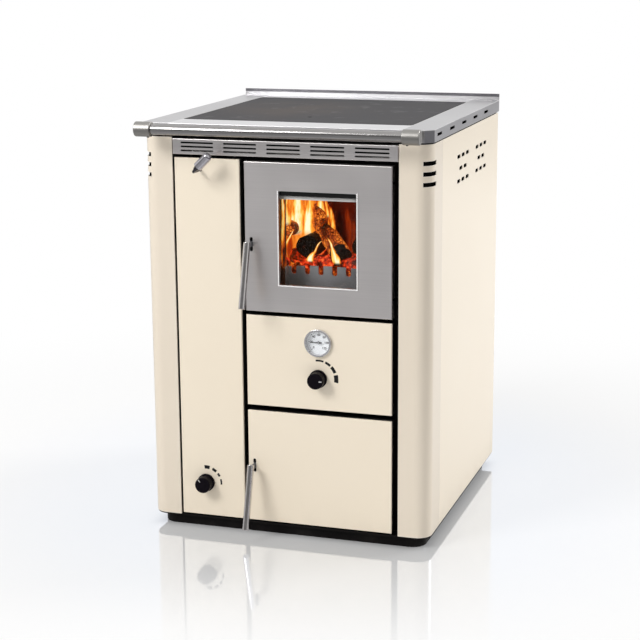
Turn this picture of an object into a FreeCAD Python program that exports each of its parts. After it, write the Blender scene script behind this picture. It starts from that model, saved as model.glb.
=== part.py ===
"""Free-standing boiler stove with a steel hob, a glazed fire door and an ash door.

Millimetres, +Z up. The origin is on the floor, at the middle of the casing's width
and depth. The front looks along -Y. Each function makes one sub-part, and each
sub-part is written to its own file.
"""
import FreeCAD, Part
import math
import os

V = FreeCAD.Vector
X_AXIS = V(1, 0, 0)
Y_AXIS = V(0, 1, 0)
Z_AXIS = V(0, 0, 1)

# Overall casing
casing_width = 600.0
casing_depth = 610.0
hob_height = 850.0
cut_overrun = 5.0
parallel_share = 1.0e-6

# Base
plinth_height = 23.0
plinth_recess = 15.0
plinth_sheet = 2.0
base_plate_thickness = 3.0
base_plate_inset = 1.5

# Casing sheets and corner pillars
casing_sheet = 1.5
panel_seam = 0.6
pillar_front_width = 64.0
pillar_side_depth = 91.5
pillar_corner_radius = 30.0
pillar_side_return = 14.0
pillar_slot_count = 3
pillar_slot_height = 8.5
pillar_slot_pitch = 20.5
pillar_slot_top_drop = 37.0
pillar_slot_front_reach = 17.0
pillar_slot_side_reach = 40.0

# Side panel vents, two columns of three staggered rows
side_vent_row_counts = (3, 2, 3)
side_vent_columns = 2
side_vent_length = 28.0
side_vent_height = 8.0
side_vent_pitch = 38.5
side_vent_row_pitch = 25.3
side_vent_top_drop = 51.0
side_vent_setback = 269.0
side_vent_column_pitch = 168.5
side_panel_return = 14.0

# Front field, from the left pillar to the right and from the foot upwards
pillar_gap = 4.5
tall_panel_width = 139.0
field_gap = 9.5
door_right_gap = 13.0
foot_gap = 3.5
ash_door_height = 237.0
ash_door_gap = 11.5
middle_panel_height = 189.0
fire_door_gap = 8.0
fire_door_top_gap = 9.0
tall_panel_top_gap = 6.0
vent_strip_height = 32.0
vent_strip_gap = 6.0
vent_strip_side_gap = 1.0
panel_depth = 20.0
panel_lip = 6.0
panel_edge_radius = 2.0

# Vent strip slots, groups of three short rows
strip_vent_groups = 5
strip_vent_rows = 3
strip_vent_end_margin = 18.0
strip_vent_height = 3.5
strip_vent_gap = 21.0
strip_vent_row_pitch = 8.0

# Front plate behind the doors and panels
front_plate_setback = 36.0
front_plate_thickness = 4.0
front_plate_overlap = 8.0
spacer_radius = 4.0
spacer_end_inset = 22.0

# Hob frame, hob plate and what carries them
frame_skirt = 24.5
frame_shadow_gap = 3.5
frame_sheet = 1.5
frame_front_overhang = 2.0
frame_side_overhang = 2.4
frame_chamfer = 16.0
frame_bend_radius = 1.2
frame_slot_count = 5
frame_slot_length = 38.0
frame_slot_height = 6.0
frame_slot_setback = 55.0
frame_slot_rear_margin = 137.0
frame_slot_drop = 12.0
upstand_rise = 14.0
upstand_sheet = 2.0
upstand_foot_gap = 1.5
hob_plate_side_margin = 60.0
hob_plate_setback = 75.0
hob_plate_rear_margin = 63.0
hob_plate_thickness = 8.0
hob_plate_gap = 2.0
hob_plate_corner = 6.0
hob_plate_lift_hole_radius = 5.0
hob_plate_lift_hole_setback = 96.0
hob_seal_thickness = 1.5
hob_ledge = 24.0
bearer_rim = 10.0

# Towel rail
rail_radius = 10.5
rail_wall = 1.5
rail_standoff = 50.0
rail_drop = 8.0
rail_end_inset = 9.0
socket_radius = 15.0
socket_length = 34.0
socket_floor = 6.0
socket_edge_radius = 1.5
socket_neck_radius = 7.0
rail_fit = 0.05

# Body shell and water jacket
shell_side_gap = 2.0
shell_sheet = 3.0
shell_rear_setback = 57.0
jacket_left_offset = 6.5
jacket_gap = 40.0
jacket_sheet = 5.0
jacket_top_drop = 30.0
grate_plate_thickness = 6.0
partition_sheet = 3.0
passage_floor_rise = 150.0
air_passage_width = 90.0
air_passage_height = 60.0
air_passage_rise = 40.0
air_passage_setback = 40.0

# Openings in the front plate, behind the doors
mouth_left_inset = 60.0
mouth_right_inset = 58.0
fire_mouth_foot_inset = 43.0
fire_mouth_head_inset = 42.0
ash_mouth_foot_inset = 34.0
ash_mouth_head_inset = 34.0
mouth_corner_radius = 10.0

# Firebox furniture
brick_thickness = 25.0
brick_height = 195.0
brick_edge_radius = 3.0
grate_end_margin = 42.0
grate_side_margin = 17.25
grate_thickness = 15.0
grate_seat = 8.0
grate_slots = 9
grate_slot_share = 0.5625
grate_rim = 14.0
guard_sheet = 4.0
guard_setback = 62.0
guard_height = 40.0
guard_arch = 4.0
guard_foot = 20.0
guard_notches = 6
guard_notch_depth = 15.0
guard_notch_end_margin = 11.5
guard_notch_share = 0.38
pan_sheet = 2.0
pan_height = 80.0
pan_sill_gap = 1.0
pan_runner_width = 14.0
pan_side_gap = 6.0
pan_front_gap = 6.0
pan_rear_gap = 92.0
pan_grip_reach = 12.0
pan_grip_height = 22.0

# Rear connections
flue_radius = 67.8
flue_wall = 2.5
flue_flange_radius = 71.5
flue_flange_thickness = 3.0
flue_projection = 60.0
flue_drop = 160.0
flue_hole_clearance = 4.0
water_socket_radius = 21.0
water_thread_radius = 15.15
water_thread_length = 25.0
water_pipe_radius = 13.5
water_socket_projection = 30.0
water_socket_right_inset = 130.0
flow_socket_drop = 95.0
return_socket_rise = 55.0
water_hole_clearance = 2.0

# Doors
window_side_inset = 72.25
window_foot_inset = 57.0
window_head_inset = 57.0
window_reveal = 8.0
window_corner_radius = 2.0
glass_margin = 9.0
glass_thickness = 4.0
clip_length = 22.0
clip_reach = 9.0
clip_thickness = 2.0
door_liner_sheet = 3.0
door_liner_border = 24.0
gasket_section = 8.0
gasket_gap = 0.3

# Hinges
hinge_edge_inset = 6.0
hinge_setback = 12.0
hinge_pin_radius = 3.0
hinge_pin_rise = 8.0
hinge_bracket_thickness = 4.0
hinge_bracket_half_width = 6.0
hinge_ear_thickness = 3.0
hinge_ear_reach = 24.0
hinge_end_inset = 36.0
hinge_lift_gap = 0.3
hinge_notch_clearance = 2.0
running_fit = 0.05
press_fit = 0.02

# Door latches, measured from the latch pin
latch_edge_inset = 13.5
fire_latch_height_share = 0.4514
ash_latch_height_share = 0.5021
latch_slot_width = 6.5
latch_slot_height = 29.0
latch_pin_setback = 12.0
latch_pin_radius = 3.0
latch_lever_thickness = 4.0
latch_hub_radius = 6.5
latch_arm_height = 9.0
latch_arm_reach = 40.0
latch_side_gap = 0.5
keeper_pin_radius = 2.5
keeper_pin_reach = 13.0
keeper_pin_drop = 1.0
keeper_cheek = 3.0
keeper_cheek_height = 12.0
keeper_side_gap = 2.5
claw_gap = 0.7
claw_thickness = 5.0
claw_rise = 3.0
claw_arm_height = 6.0
latch_cheek = 2.5
latch_cheek_reach = 7.0
latch_base_sheet = 2.0
latch_base_width = 22.0
latch_base_height = 44.0

# Door handles
handle_radius = 7.0
handle_length = 134.0
handle_top_rise = 8.0
handle_standoff = 24.0
handle_edge_radius = 1.5
handle_lean_angle = 16.0

# Damper lever
damper_left_inset = 55.5
damper_top_drop = 23.5
damper_rod_radius = 3.0
damper_standoff = 40.0
damper_bend_radius = 7.0
damper_tail = 12.0
damper_grip_radius = 9.5
damper_grip_length = 44.0
damper_grip_edge = 6.0
damper_ferrule_length = 9.0
damper_ferrule_radius = 7.0
damper_ferrule_tip_radius = 4.0
damper_grip_angle = 45.0
damper_hole_clearance = 1.0
flap_width = 96.0
flap_length = 200.0
flap_sheet = 3.0
flap_sleeve_wall = 3.0
flap_setback = 180.0
damper_lug_sheet = 4.0
damper_lug_margin = 8.0
damper_rod_end = 6.0

# Knobs
knob_radius = 16.5
knob_skirt_radius = 18.5
knob_skirt_height = 5.0
knob_height = 25.0
knob_edge_radius = 2.0
knob_panel_gap = 0.8
knob_spindle_depth = 14.0
spindle_radius = 4.0
spindle_hole_clearance = 1.0
air_knob_left_inset = 54.0
air_knob_rise = 72.0
thermostat_knob_rise = 66.0
air_disc_radius = 42.0
air_disc_sheet = 2.0
air_disc_gap = 0.4
air_spindle_end = 5.0
air_port_inner_radius = 14.0
air_port_outer_radius = 36.0
air_port_angle = 80.0
air_ports = 2
thermostat_width = 44.0
thermostat_height = 36.0
thermostat_depth = 24.0
thermostat_edge_radius = 3.0
thermostat_spindle_gap = 0.3

# Thermometer
gauge_radius = 28.5
gauge_rise = 140.0
gauge_bezel_height = 6.0
gauge_body_radius = 26.0
gauge_body_depth = 7.0
gauge_wall = 1.5
gauge_hole_clearance = 0.4
gauge_dial_sheet = 1.0
gauge_glass_thickness = 1.5
gauge_glass_inset = 1.0
gauge_stem_radius = 4.0
gauge_stem_length = 61.0
gauge_stem_clearance = 0.4
needle_pin_radius = 1.0
needle_pin_height = 6.0
needle_hub_radius = 3.0
needle_sheet = 0.8
needle_lift = 3.0
needle_length = 18.0
needle_tail = 7.0
needle_tip_width = 0.8
needle_root_width = 3.0
needle_rest_angle = 180.0

# Places worked out from the sizes above
side_x = casing_width / 2
front_y = -casing_depth / 2
rear_y = casing_depth / 2
casing_bottom = plinth_height + base_plate_thickness
casing_top = hob_height - frame_skirt - frame_shadow_gap
pillar_inner_x = side_x - pillar_front_width
pillar_rear_y = front_y + pillar_side_depth
plate_front_y = front_y + front_plate_setback
plate_rear_y = plate_front_y + front_plate_thickness
panel_back_y = front_y + casing_sheet
panel_rim_y = front_y + panel_depth

tall_x0 = -pillar_inner_x + pillar_gap
tall_x1 = tall_x0 + tall_panel_width
door_x0 = tall_x1 + field_gap
door_x1 = pillar_inner_x - door_right_gap
foot_z = casing_bottom + foot_gap
ash_door_top = foot_z + ash_door_height
middle_z0 = ash_door_top + ash_door_gap
middle_z1 = middle_z0 + middle_panel_height
strip_z1 = hob_height - frame_skirt - vent_strip_gap
strip_z0 = strip_z1 - vent_strip_height
strip_half_width = pillar_inner_x - vent_strip_side_gap
strip_vent_run = 2 * (strip_half_width - strip_vent_end_margin)
strip_vent_pitch = (strip_vent_run + strip_vent_gap) / strip_vent_groups
strip_vent_length = strip_vent_pitch - strip_vent_gap
fire_door_z0 = middle_z1 + fire_door_gap
fire_door_z1 = strip_z0 - fire_door_top_gap
tall_z1 = strip_z0 - tall_panel_top_gap

mouth_x0 = door_x0 + mouth_left_inset
mouth_x1 = door_x1 - mouth_right_inset
fire_mouth_z0 = fire_door_z0 + fire_mouth_foot_inset
fire_mouth_z1 = fire_door_z1 - fire_mouth_head_inset
ash_mouth_z0 = foot_z + ash_mouth_foot_inset
ash_mouth_z1 = ash_door_top - ash_mouth_head_inset

shell_half_width = pillar_inner_x - shell_side_gap
shell_inner_x = shell_half_width - shell_sheet
shell_rear_y = rear_y - shell_rear_setback
shell_inner_y = shell_rear_y - shell_sheet
grate_plate_z0 = middle_z0
grate_plate_z1 = grate_plate_z0 + grate_plate_thickness
jacket_x0 = door_x0 - jacket_left_offset
jacket_x1 = shell_inner_x
jacket_z1 = casing_top - jacket_top_drop
firebox_x0 = jacket_x0 + jacket_gap
firebox_x1 = jacket_x1 - jacket_gap
firebox_y0 = plate_rear_y + jacket_gap
firebox_y1 = shell_inner_y - jacket_gap
lining_x0 = firebox_x0 + brick_thickness
lining_x1 = firebox_x1 - brick_thickness

pan_x0 = mouth_x0 + pan_side_gap
pan_x1 = mouth_x1 - pan_side_gap
pan_y0 = plate_rear_y + pan_front_gap + pan_grip_reach
pan_y1 = shell_inner_y - pan_rear_gap
pan_z0 = ash_mouth_z0 + pan_sill_gap
pan_z1 = pan_z0 + pan_height

hob_y0 = front_y + hob_plate_setback
hob_y1 = rear_y - hob_plate_rear_margin
hob_x1 = side_x - hob_plate_side_margin
hob_plate_z0 = hob_height - hob_plate_thickness
hob_ledge_z = hob_plate_z0 - hob_seal_thickness
frame_top_z0 = hob_height - frame_sheet
frame_rear_y = rear_y - upstand_sheet
frame_slot_run = casing_depth - frame_slot_setback - frame_slot_rear_margin
frame_slot_pitch = frame_slot_run / (frame_slot_count - 1)

hinge_x = door_x1 - hinge_edge_inset
hinge_y = front_y + hinge_setback
latch_x = door_x0 + latch_edge_inset
latch_y = front_y + latch_pin_setback
fire_latch_z = fire_door_z0 + fire_latch_height_share * (fire_door_z1 - fire_door_z0)
ash_latch_z = foot_z + ash_latch_height_share * ash_door_height

damper_x = tall_x0 + damper_left_inset
damper_z = tall_z1 - damper_top_drop
flap_y0 = plate_rear_y + flap_setback
flap_y1 = flap_y0 + flap_length
air_knob_x = tall_x0 + air_knob_left_inset
air_knob_z = foot_z + air_knob_rise
gauge_x = (door_x0 + door_x1) / 2
gauge_z = middle_z0 + gauge_rise
thermostat_z = middle_z0 + thermostat_knob_rise
flue_x = (jacket_x0 - shell_inner_x) / 2
flue_z = casing_top - flue_drop
water_x = jacket_x1 - water_socket_right_inset
flow_z = jacket_z1 - flow_socket_drop
return_z = grate_plate_z1 + return_socket_rise


# Helpers
def block(x0, x1, y0, y1, z0, z1):
    """A box between two opposite corners."""
    return Part.makeBox(x1 - x0, y1 - y0, z1 - z0, V(x0, y0, z0))


def edges_along(solid, axis):
    """The straight edges of a solid that run along an axis."""
    found = []
    for edge in solid.Edges:
        span = edge.lastVertex().Point - edge.firstVertex().Point
        if span.Length > 0 and span.normalize().cross(axis).Length < parallel_share:
            found.append(edge)
    return found


def rounded_block(x0, x1, y0, y1, z0, z1, radius, axis):
    """A box whose four edges along one axis are rounded."""
    solid = block(x0, x1, y0, y1, z0, z1)
    return solid.makeFillet(radius, edges_along(solid, axis))


def rod(start, end, radius):
    """A round bar from one point to another."""
    span = end - start
    return Part.makeCylinder(radius, span.Length, start, span)


def y_rod(x, z, y0, y1, radius):
    """A round bar along Y."""
    return rod(V(x, y0, z), V(x, y1, z), radius)


def x_rod(y, z, x0, x1, radius):
    """A round bar along X."""
    return rod(V(x0, y, z), V(x1, y, z), radius)


def prism(points, depth):
    """A solid drawn from a closed outline and swept by a vector."""
    return Part.Face(Part.makePolygon(points + points[:1])).extrude(depth)


def fuse_all(solids):
    """One solid out of several that touch or overlap."""
    return solids[0].multiFuse(solids[1:]).removeSplitter()


def mirror_x(solid):
    """The same piece for the other side of the stove."""
    return solid.mirror(V(0, 0, 0), X_AXIS)


def folded_panel(x0, x1, z0, z1):
    """A front panel folded from sheet: face, four sides and a narrow lip all round."""
    outer = block(x0, x1, front_y, panel_rim_y, z0, z1)
    face_edges = [edge for edge in outer.Edges if edge.BoundBox.YMax < front_y + panel_edge_radius]
    outer = outer.makeFillet(panel_edge_radius, face_edges)
    hollow = block(x0 + casing_sheet, x1 - casing_sheet, panel_back_y, panel_rim_y - casing_sheet,
                   z0 + casing_sheet, z1 - casing_sheet)
    mouth = block(x0 + panel_lip, x1 - panel_lip, panel_back_y, panel_rim_y + cut_overrun,
                  z0 + panel_lip, z1 - panel_lip)
    return outer.cut(hollow).cut(mouth)


def panel_hole(x, z, radius):
    """A cutter for a round hole through a front panel's face."""
    return y_rod(x, z, front_y - cut_overrun, panel_back_y + cut_overrun, radius)


# Base
def make_plinth():
    """The recessed black base: a shallow tray with rounded corners that stands on the floor."""
    x1 = side_x - plinth_recess
    y1 = rear_y - plinth_recess
    outer = rounded_block(-x1, x1, -y1, y1, 0, plinth_height, pillar_corner_radius, Z_AXIS)
    inner_x = x1 - plinth_sheet
    inner_y = y1 - plinth_sheet
    hollow = rounded_block(-inner_x, inner_x, -inner_y, inner_y, plinth_sheet,
                           plinth_height + cut_overrun, pillar_corner_radius - plinth_sheet, Z_AXIS)
    return outer.cut(hollow)


def make_base_plate():
    """The plate that closes the plinth and carries the casing and the body."""
    x1 = side_x - base_plate_inset
    y1 = rear_y - base_plate_inset
    plate = block(-x1, x1, -y1, y1, plinth_height, casing_bottom)
    front_corners = [edge for edge in edges_along(plate, Z_AXIS) if edge.BoundBox.YMax < 0]
    return plate.makeFillet(pillar_corner_radius - base_plate_inset, front_corners)


# Casing
def corner_column(inset):
    """The full rounded corner of the right pillar, its skin moved inwards by an inset."""
    column = block(pillar_inner_x + inset, side_x - inset, front_y + inset, pillar_rear_y - inset,
                   casing_bottom, casing_top)
    corner = [edge for edge in edges_along(column, Z_AXIS)
              if edge.BoundBox.XMin > side_x - inset - casing_sheet
              and edge.BoundBox.YMax < front_y + inset + casing_sheet]
    return column.makeFillet(pillar_corner_radius - inset, corner)


def make_right_pillar():
    """A folded corner pillar: front strip, large round corner with slots, and side strip."""
    pillar = corner_column(0).cut(corner_column(casing_sheet))
    pillar = pillar.cut(block(pillar_inner_x - cut_overrun, side_x - pillar_side_return, plate_front_y,
                              pillar_rear_y + cut_overrun, casing_bottom - cut_overrun,
                              casing_top + cut_overrun))
    for row in range(pillar_slot_count):
        z = casing_top - pillar_slot_top_drop - row * pillar_slot_pitch
        slot = block(side_x - pillar_slot_front_reach, side_x + cut_overrun,
                     front_y - cut_overrun, front_y + pillar_slot_side_reach,
                     z - pillar_slot_height / 2, z + pillar_slot_height / 2)
        pillar = pillar.cut(slot)
    return pillar


def side_vent_slots():
    """Cutters for the staggered rows of short slots in a side panel."""
    slots = []
    for column in range(side_vent_columns):
        middle_y = front_y + side_vent_setback + column * side_vent_column_pitch
        for row, count in enumerate(side_vent_row_counts):
            z = casing_top - side_vent_top_drop - row * side_vent_row_pitch
            for place in range(count):
                y = middle_y + (place - (count - 1) / 2) * side_vent_pitch
                slots.append(rounded_block(
                    side_x - casing_sheet - cut_overrun, side_x + cut_overrun,
                    y - side_vent_length / 2, y + side_vent_length / 2,
                    z - side_vent_height / 2, z + side_vent_height / 2,
                    side_vent_height / 2 - press_fit, X_AXIS))
    return slots


def make_right_side_panel():
    """A side panel with folded front and rear edges and its vent slots."""
    y0 = pillar_rear_y + panel_seam
    panel = block(side_x - side_panel_return, side_x, y0, rear_y, casing_bottom, casing_top)
    panel = panel.cut(block(side_x - side_panel_return - cut_overrun, side_x - casing_sheet,
                            y0 + casing_sheet, rear_y - casing_sheet,
                            casing_bottom - cut_overrun, casing_top + cut_overrun))
    return panel.cut(side_vent_slots())


def make_back_panel():
    """The rear sheet, between the side panels' folds, with holes for the connections."""
    x1 = side_x - side_panel_return - panel_seam
    panel = block(-x1, x1, rear_y - casing_sheet, rear_y, casing_bottom, casing_top)
    y0 = rear_y - casing_sheet - cut_overrun
    y1 = rear_y + cut_overrun
    panel = panel.cut(y_rod(flue_x, flue_z, y0, y1, flue_radius + flue_hole_clearance))
    for z in (flow_z, return_z):
        panel = panel.cut(y_rod(water_x, z, y0, y1, water_socket_radius + water_hole_clearance))
    return panel


def make_vent_strip():
    """The stainless strip under the hob, with its groups of slots."""
    strip = folded_panel(-strip_half_width, strip_half_width, strip_z0, strip_z1)
    middle_z = (strip_z0 + strip_z1) / 2
    for group in range(strip_vent_groups):
        x = (group - (strip_vent_groups - 1) / 2) * strip_vent_pitch
        for row in range(strip_vent_rows):
            z = middle_z + (row - (strip_vent_rows - 1) / 2) * strip_vent_row_pitch
            strip = strip.cut(rounded_block(
                x - strip_vent_length / 2, x + strip_vent_length / 2,
                front_y - cut_overrun, panel_back_y + cut_overrun,
                z - strip_vent_height / 2, z + strip_vent_height / 2,
                strip_vent_height / 2 - press_fit, Y_AXIS))
    return strip


def make_tall_panel():
    """The tall fixed panel on the left, with holes for the damper rod and the air spindle."""
    panel = folded_panel(tall_x0, tall_x1, foot_z, tall_z1)
    panel = panel.cut(panel_hole(damper_x, damper_z, damper_rod_radius + damper_hole_clearance))
    return panel.cut(panel_hole(air_knob_x, air_knob_z, spindle_radius + spindle_hole_clearance))


def make_middle_panel():
    """The fixed panel between the doors, with holes for the thermometer and the thermostat."""
    panel = folded_panel(door_x0, door_x1, middle_z0, middle_z1)
    panel = panel.cut(panel_hole(gauge_x, gauge_z, gauge_body_radius + gauge_hole_clearance))
    return panel.cut(panel_hole(gauge_x, thermostat_z, spindle_radius + spindle_hole_clearance))


def make_panel_spacers():
    """Round spacers from the fixed panels' lips to the front plate, four to a panel."""
    spacers = []
    fields = ((-strip_half_width, strip_half_width, strip_z0, strip_z1),
              (tall_x0, tall_x1, foot_z, tall_z1),
              (door_x0, door_x1, middle_z0, middle_z1))
    for x0, x1, z0, z1 in fields:
        for x in (x0 + spacer_end_inset, x1 - spacer_end_inset):
            for z in (z0 + spacer_radius, z1 - spacer_radius):
                spacers.append(y_rod(x, z, panel_rim_y, plate_front_y, spacer_radius))
    return Part.makeCompound(spacers)


# Hob
def frame_outline(inset, z):
    """The hob frame's outline with cut-off front corners, moved inwards by an inset."""
    x1 = side_x + frame_side_overhang - inset
    y0 = front_y - frame_front_overhang + inset
    y1 = frame_rear_y - inset
    corner = frame_chamfer - inset * (2 - math.sqrt(2))
    return [V(-x1, y1, z), V(-x1, y0 + corner, z), V(-x1 + corner, y0, z),
            V(x1 - corner, y0, z), V(x1, y0 + corner, z), V(x1, y1, z)]


def make_hob_frame():
    """The stainless hob surround: a top sheet with a folded skirt and slotted sides."""
    skirt_z0 = hob_height - frame_skirt
    frame = prism(frame_outline(0, skirt_z0), Z_AXIS * frame_skirt)
    top_edges = [edge for edge in frame.Edges if edge.BoundBox.ZMin > hob_height - frame_bend_radius]
    frame = frame.makeFillet(frame_bend_radius, top_edges)
    frame = frame.cut(prism(frame_outline(frame_sheet, skirt_z0 - cut_overrun),
                            Z_AXIS * (frame_skirt - frame_sheet + cut_overrun)))
    opening_x = hob_x1 + hob_plate_gap
    frame = frame.cut(rounded_block(-opening_x, opening_x, hob_y0 - hob_plate_gap, hob_y1 + hob_plate_gap,
                                    skirt_z0, hob_height + cut_overrun,
                                    hob_plate_corner + hob_plate_gap, Z_AXIS))
    slot_x = side_x + frame_side_overhang + cut_overrun
    z = hob_height - frame_slot_drop
    for place in range(frame_slot_count):
        y = front_y + frame_slot_setback + place * frame_slot_pitch
        frame = frame.cut(block(-slot_x, slot_x, y - frame_slot_length / 2, y + frame_slot_length / 2,
                                z - frame_slot_height / 2, z + frame_slot_height / 2))
    return frame


def make_rear_upstand():
    """The strip that rises behind the hob frame, fixed to its rear skirt."""
    x1 = side_x + frame_side_overhang
    return block(-x1, x1, frame_rear_y, rear_y, hob_height - frame_skirt + upstand_foot_gap,
                 hob_height + upstand_rise)


def make_hob_bearer():
    """The ring on top of the body: a ledge for the hob plate and a rim for the frame."""
    x1 = hob_x1 + hob_plate_gap + bearer_rim
    y1 = hob_y1 + hob_plate_gap + bearer_rim
    ring = block(-x1, x1, plate_front_y, y1, casing_top, frame_top_z0)
    pocket_x = hob_x1 + hob_plate_gap
    ring = ring.cut(rounded_block(-pocket_x, pocket_x, hob_y0 - hob_plate_gap, hob_y1 + hob_plate_gap,
                                  hob_ledge_z, hob_height, hob_plate_corner + hob_plate_gap, Z_AXIS))
    inner_x = hob_x1 - hob_ledge
    return ring.cut(rounded_block(-inner_x, inner_x, hob_y0 + hob_ledge, hob_y1 - hob_ledge,
                                  casing_top - cut_overrun, hob_height, hob_plate_corner, Z_AXIS))


def make_hob_seal():
    """The flat rope seal between the ledge and the hob plate."""
    outer = rounded_block(-hob_x1, hob_x1, hob_y0, hob_y1, hob_ledge_z, hob_plate_z0,
                          hob_plate_corner, Z_AXIS)
    inner_x = hob_x1 - hob_ledge / 2
    return outer.cut(block(-inner_x, inner_x, hob_y0 + hob_ledge / 2, hob_y1 - hob_ledge / 2,
                           hob_ledge_z - cut_overrun, hob_plate_z0 + cut_overrun))


def make_hob_plate():
    """The thick steel cooking plate, with a blind hole for the lifting hook."""
    plate = rounded_block(-hob_x1, hob_x1, hob_y0, hob_y1, hob_plate_z0, hob_height,
                          hob_plate_corner, Z_AXIS)
    hook_y = hob_y0 + hob_plate_lift_hole_setback
    hook_z = hob_height - hob_plate_thickness / 2
    return plate.cut(rod(V(0, hook_y, hook_z), V(0, hook_y, hob_height + cut_overrun),
                         hob_plate_lift_hole_radius))


# Towel rail
rail_y = front_y - rail_standoff
rail_z = hob_height - rail_drop
rail_end_x = side_x - rail_end_inset
rail_tube_x = rail_end_x - socket_floor


def make_towel_rail():
    """The round tube between the two sockets."""
    tube = x_rod(rail_y, rail_z, -rail_tube_x, rail_tube_x, rail_radius)
    return tube.cut(x_rod(rail_y, rail_z, -side_x, side_x, rail_radius - rail_wall))


def make_right_rail_socket():
    """An end socket: a closed cup for the tube on a neck from the hob frame's skirt."""
    cup = x_rod(rail_y, rail_z, rail_end_x - socket_length, rail_end_x, socket_radius)
    rims = [edge for edge in cup.Edges if isinstance(edge.Curve, Part.Circle)]
    cup = cup.makeFillet(socket_edge_radius, rims)
    neck_x = rail_end_x - socket_length / 2
    neck = y_rod(neck_x, rail_z, rail_y, front_y - frame_front_overhang, socket_neck_radius)
    bore = x_rod(rail_y, rail_z, rail_end_x - socket_length - cut_overrun, rail_tube_x,
                 rail_radius + rail_fit)
    return cup.fuse(neck).cut(bore).removeSplitter()


def make_rail_sockets():
    """The pair of end sockets."""
    right = make_right_rail_socket()
    return Part.makeCompound([right, mirror_x(right)])


# Body
def mouth_cutter(z0, z1, y0, y1):
    """A cutter for a door's opening, with rounded corners."""
    return rounded_block(mouth_x0, mouth_x1, y0, y1, z0, z1, mouth_corner_radius, Y_AXIS)


def air_port_cutters(y0, y1):
    """Ring sectors of the rotary air valve, the same in the plate and in the disc."""
    cutters = []
    for port in range(air_ports):
        sector = Part.makeCylinder(air_port_outer_radius, y1 - y0, V(air_knob_x, y0, air_knob_z), Y_AXIS,
                                   air_port_angle)
        sector = sector.cut(y_rod(air_knob_x, air_knob_z, y0 - cut_overrun, y1 + cut_overrun,
                                  air_port_inner_radius))
        sector.rotate(V(air_knob_x, 0, air_knob_z), Y_AXIS, port * 360 / air_ports)
        cutters.append(sector)
    return cutters


def make_front_plate():
    """The plate behind the doors and panels: it carries hinges, keepers and panels."""
    x1 = pillar_inner_x + front_plate_overlap
    plate = block(-x1, x1, plate_front_y, plate_rear_y, casing_bottom, casing_top)
    y0 = plate_front_y - cut_overrun
    y1 = plate_rear_y + cut_overrun
    plate = plate.cut(mouth_cutter(fire_mouth_z0, fire_mouth_z1, y0, y1))
    plate = plate.cut(mouth_cutter(ash_mouth_z0, ash_mouth_z1, y0, y1))
    plate = plate.cut(air_port_cutters(y0, y1))
    plate = plate.cut(y_rod(air_knob_x, air_knob_z, y0, y1, spindle_radius + running_fit))
    plate = plate.cut(y_rod(damper_x, damper_z, y0, y1, damper_rod_radius + running_fit))
    return plate.cut(y_rod(gauge_x, gauge_z, y0, y1, gauge_stem_radius + gauge_stem_clearance))


def make_damper_lug():
    """The lug inside the flue passage that carries the rear end of the damper rod."""
    y0 = flap_y1 + flap_sleeve_wall
    reach = damper_rod_radius + damper_lug_margin
    lug = block(-shell_inner_x, damper_x + reach, y0, y0 + damper_lug_sheet,
                damper_z - reach, damper_z + reach)
    return lug.cut(y_rod(damper_x, damper_z, y0 - cut_overrun, y0 + damper_lug_sheet + cut_overrun,
                         damper_rod_radius + running_fit))


def make_body_shell():
    """The welded outer body: floor, sides and back plates, the pan's runners and the damper's lug."""
    floor_z = casing_bottom + shell_sheet
    floor = block(-shell_half_width, shell_half_width, plate_rear_y, shell_rear_y, casing_bottom, floor_z)
    side = block(shell_inner_x, shell_half_width, plate_rear_y, shell_rear_y, floor_z, casing_top)
    back = block(-shell_inner_x, shell_inner_x, shell_inner_y, shell_rear_y, floor_z, casing_top)
    y0 = shell_inner_y - cut_overrun
    y1 = shell_rear_y + cut_overrun
    back = back.cut(y_rod(flue_x, flue_z, y0, y1, flue_radius - flue_wall))
    for z in (flow_z, return_z):
        back = back.cut(y_rod(water_x, z, y0, y1, water_socket_radius))
    runners = [block(x0, x0 + pan_runner_width, plate_rear_y, pan_y1, floor_z, pan_z0)
               for x0 in (pan_x0, pan_x1 - pan_runner_width)]
    return Part.makeCompound([floor, side, mirror_x(side), back, make_damper_lug()] + runners)


def make_water_jacket():
    """The hollow water walls round the firebox, with the stoking mouth through the front wall."""
    walls = block(jacket_x0, jacket_x1, plate_rear_y, shell_inner_y, grate_plate_z1, jacket_z1)
    firebox = block(firebox_x0, firebox_x1, firebox_y0, firebox_y1,
                    grate_plate_z1 - cut_overrun, jacket_z1 + cut_overrun)
    y0 = plate_rear_y - cut_overrun
    y1 = firebox_y0 + cut_overrun
    walls = walls.cut(firebox).cut(mouth_cutter(fire_mouth_z0, fire_mouth_z1, y0, y1))
    t = jacket_sheet
    water = block(jacket_x0 + t, jacket_x1 - t, plate_rear_y + t, shell_inner_y - t,
                  grate_plate_z1 + t, jacket_z1 - t)
    water = water.cut(block(firebox_x0 - t, firebox_x1 + t, firebox_y0 - t, firebox_y1 + t,
                            grate_plate_z1 - cut_overrun, jacket_z1 + cut_overrun))
    water = water.cut(rounded_block(mouth_x0 - t, mouth_x1 + t, y0, y1, fire_mouth_z0 - t, fire_mouth_z1 + t,
                                    mouth_corner_radius + t, Y_AXIS))
    walls = walls.cut(water)
    for z in (flow_z, return_z):
        walls = walls.cut(y_rod(water_x, z, firebox_y1 + 2 * t, shell_inner_y + cut_overrun,
                                water_pipe_radius))
    return walls.cut(y_rod(gauge_x, gauge_z, y0, plate_rear_y + 2 * t,
                           gauge_stem_radius + gauge_stem_clearance))


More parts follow.
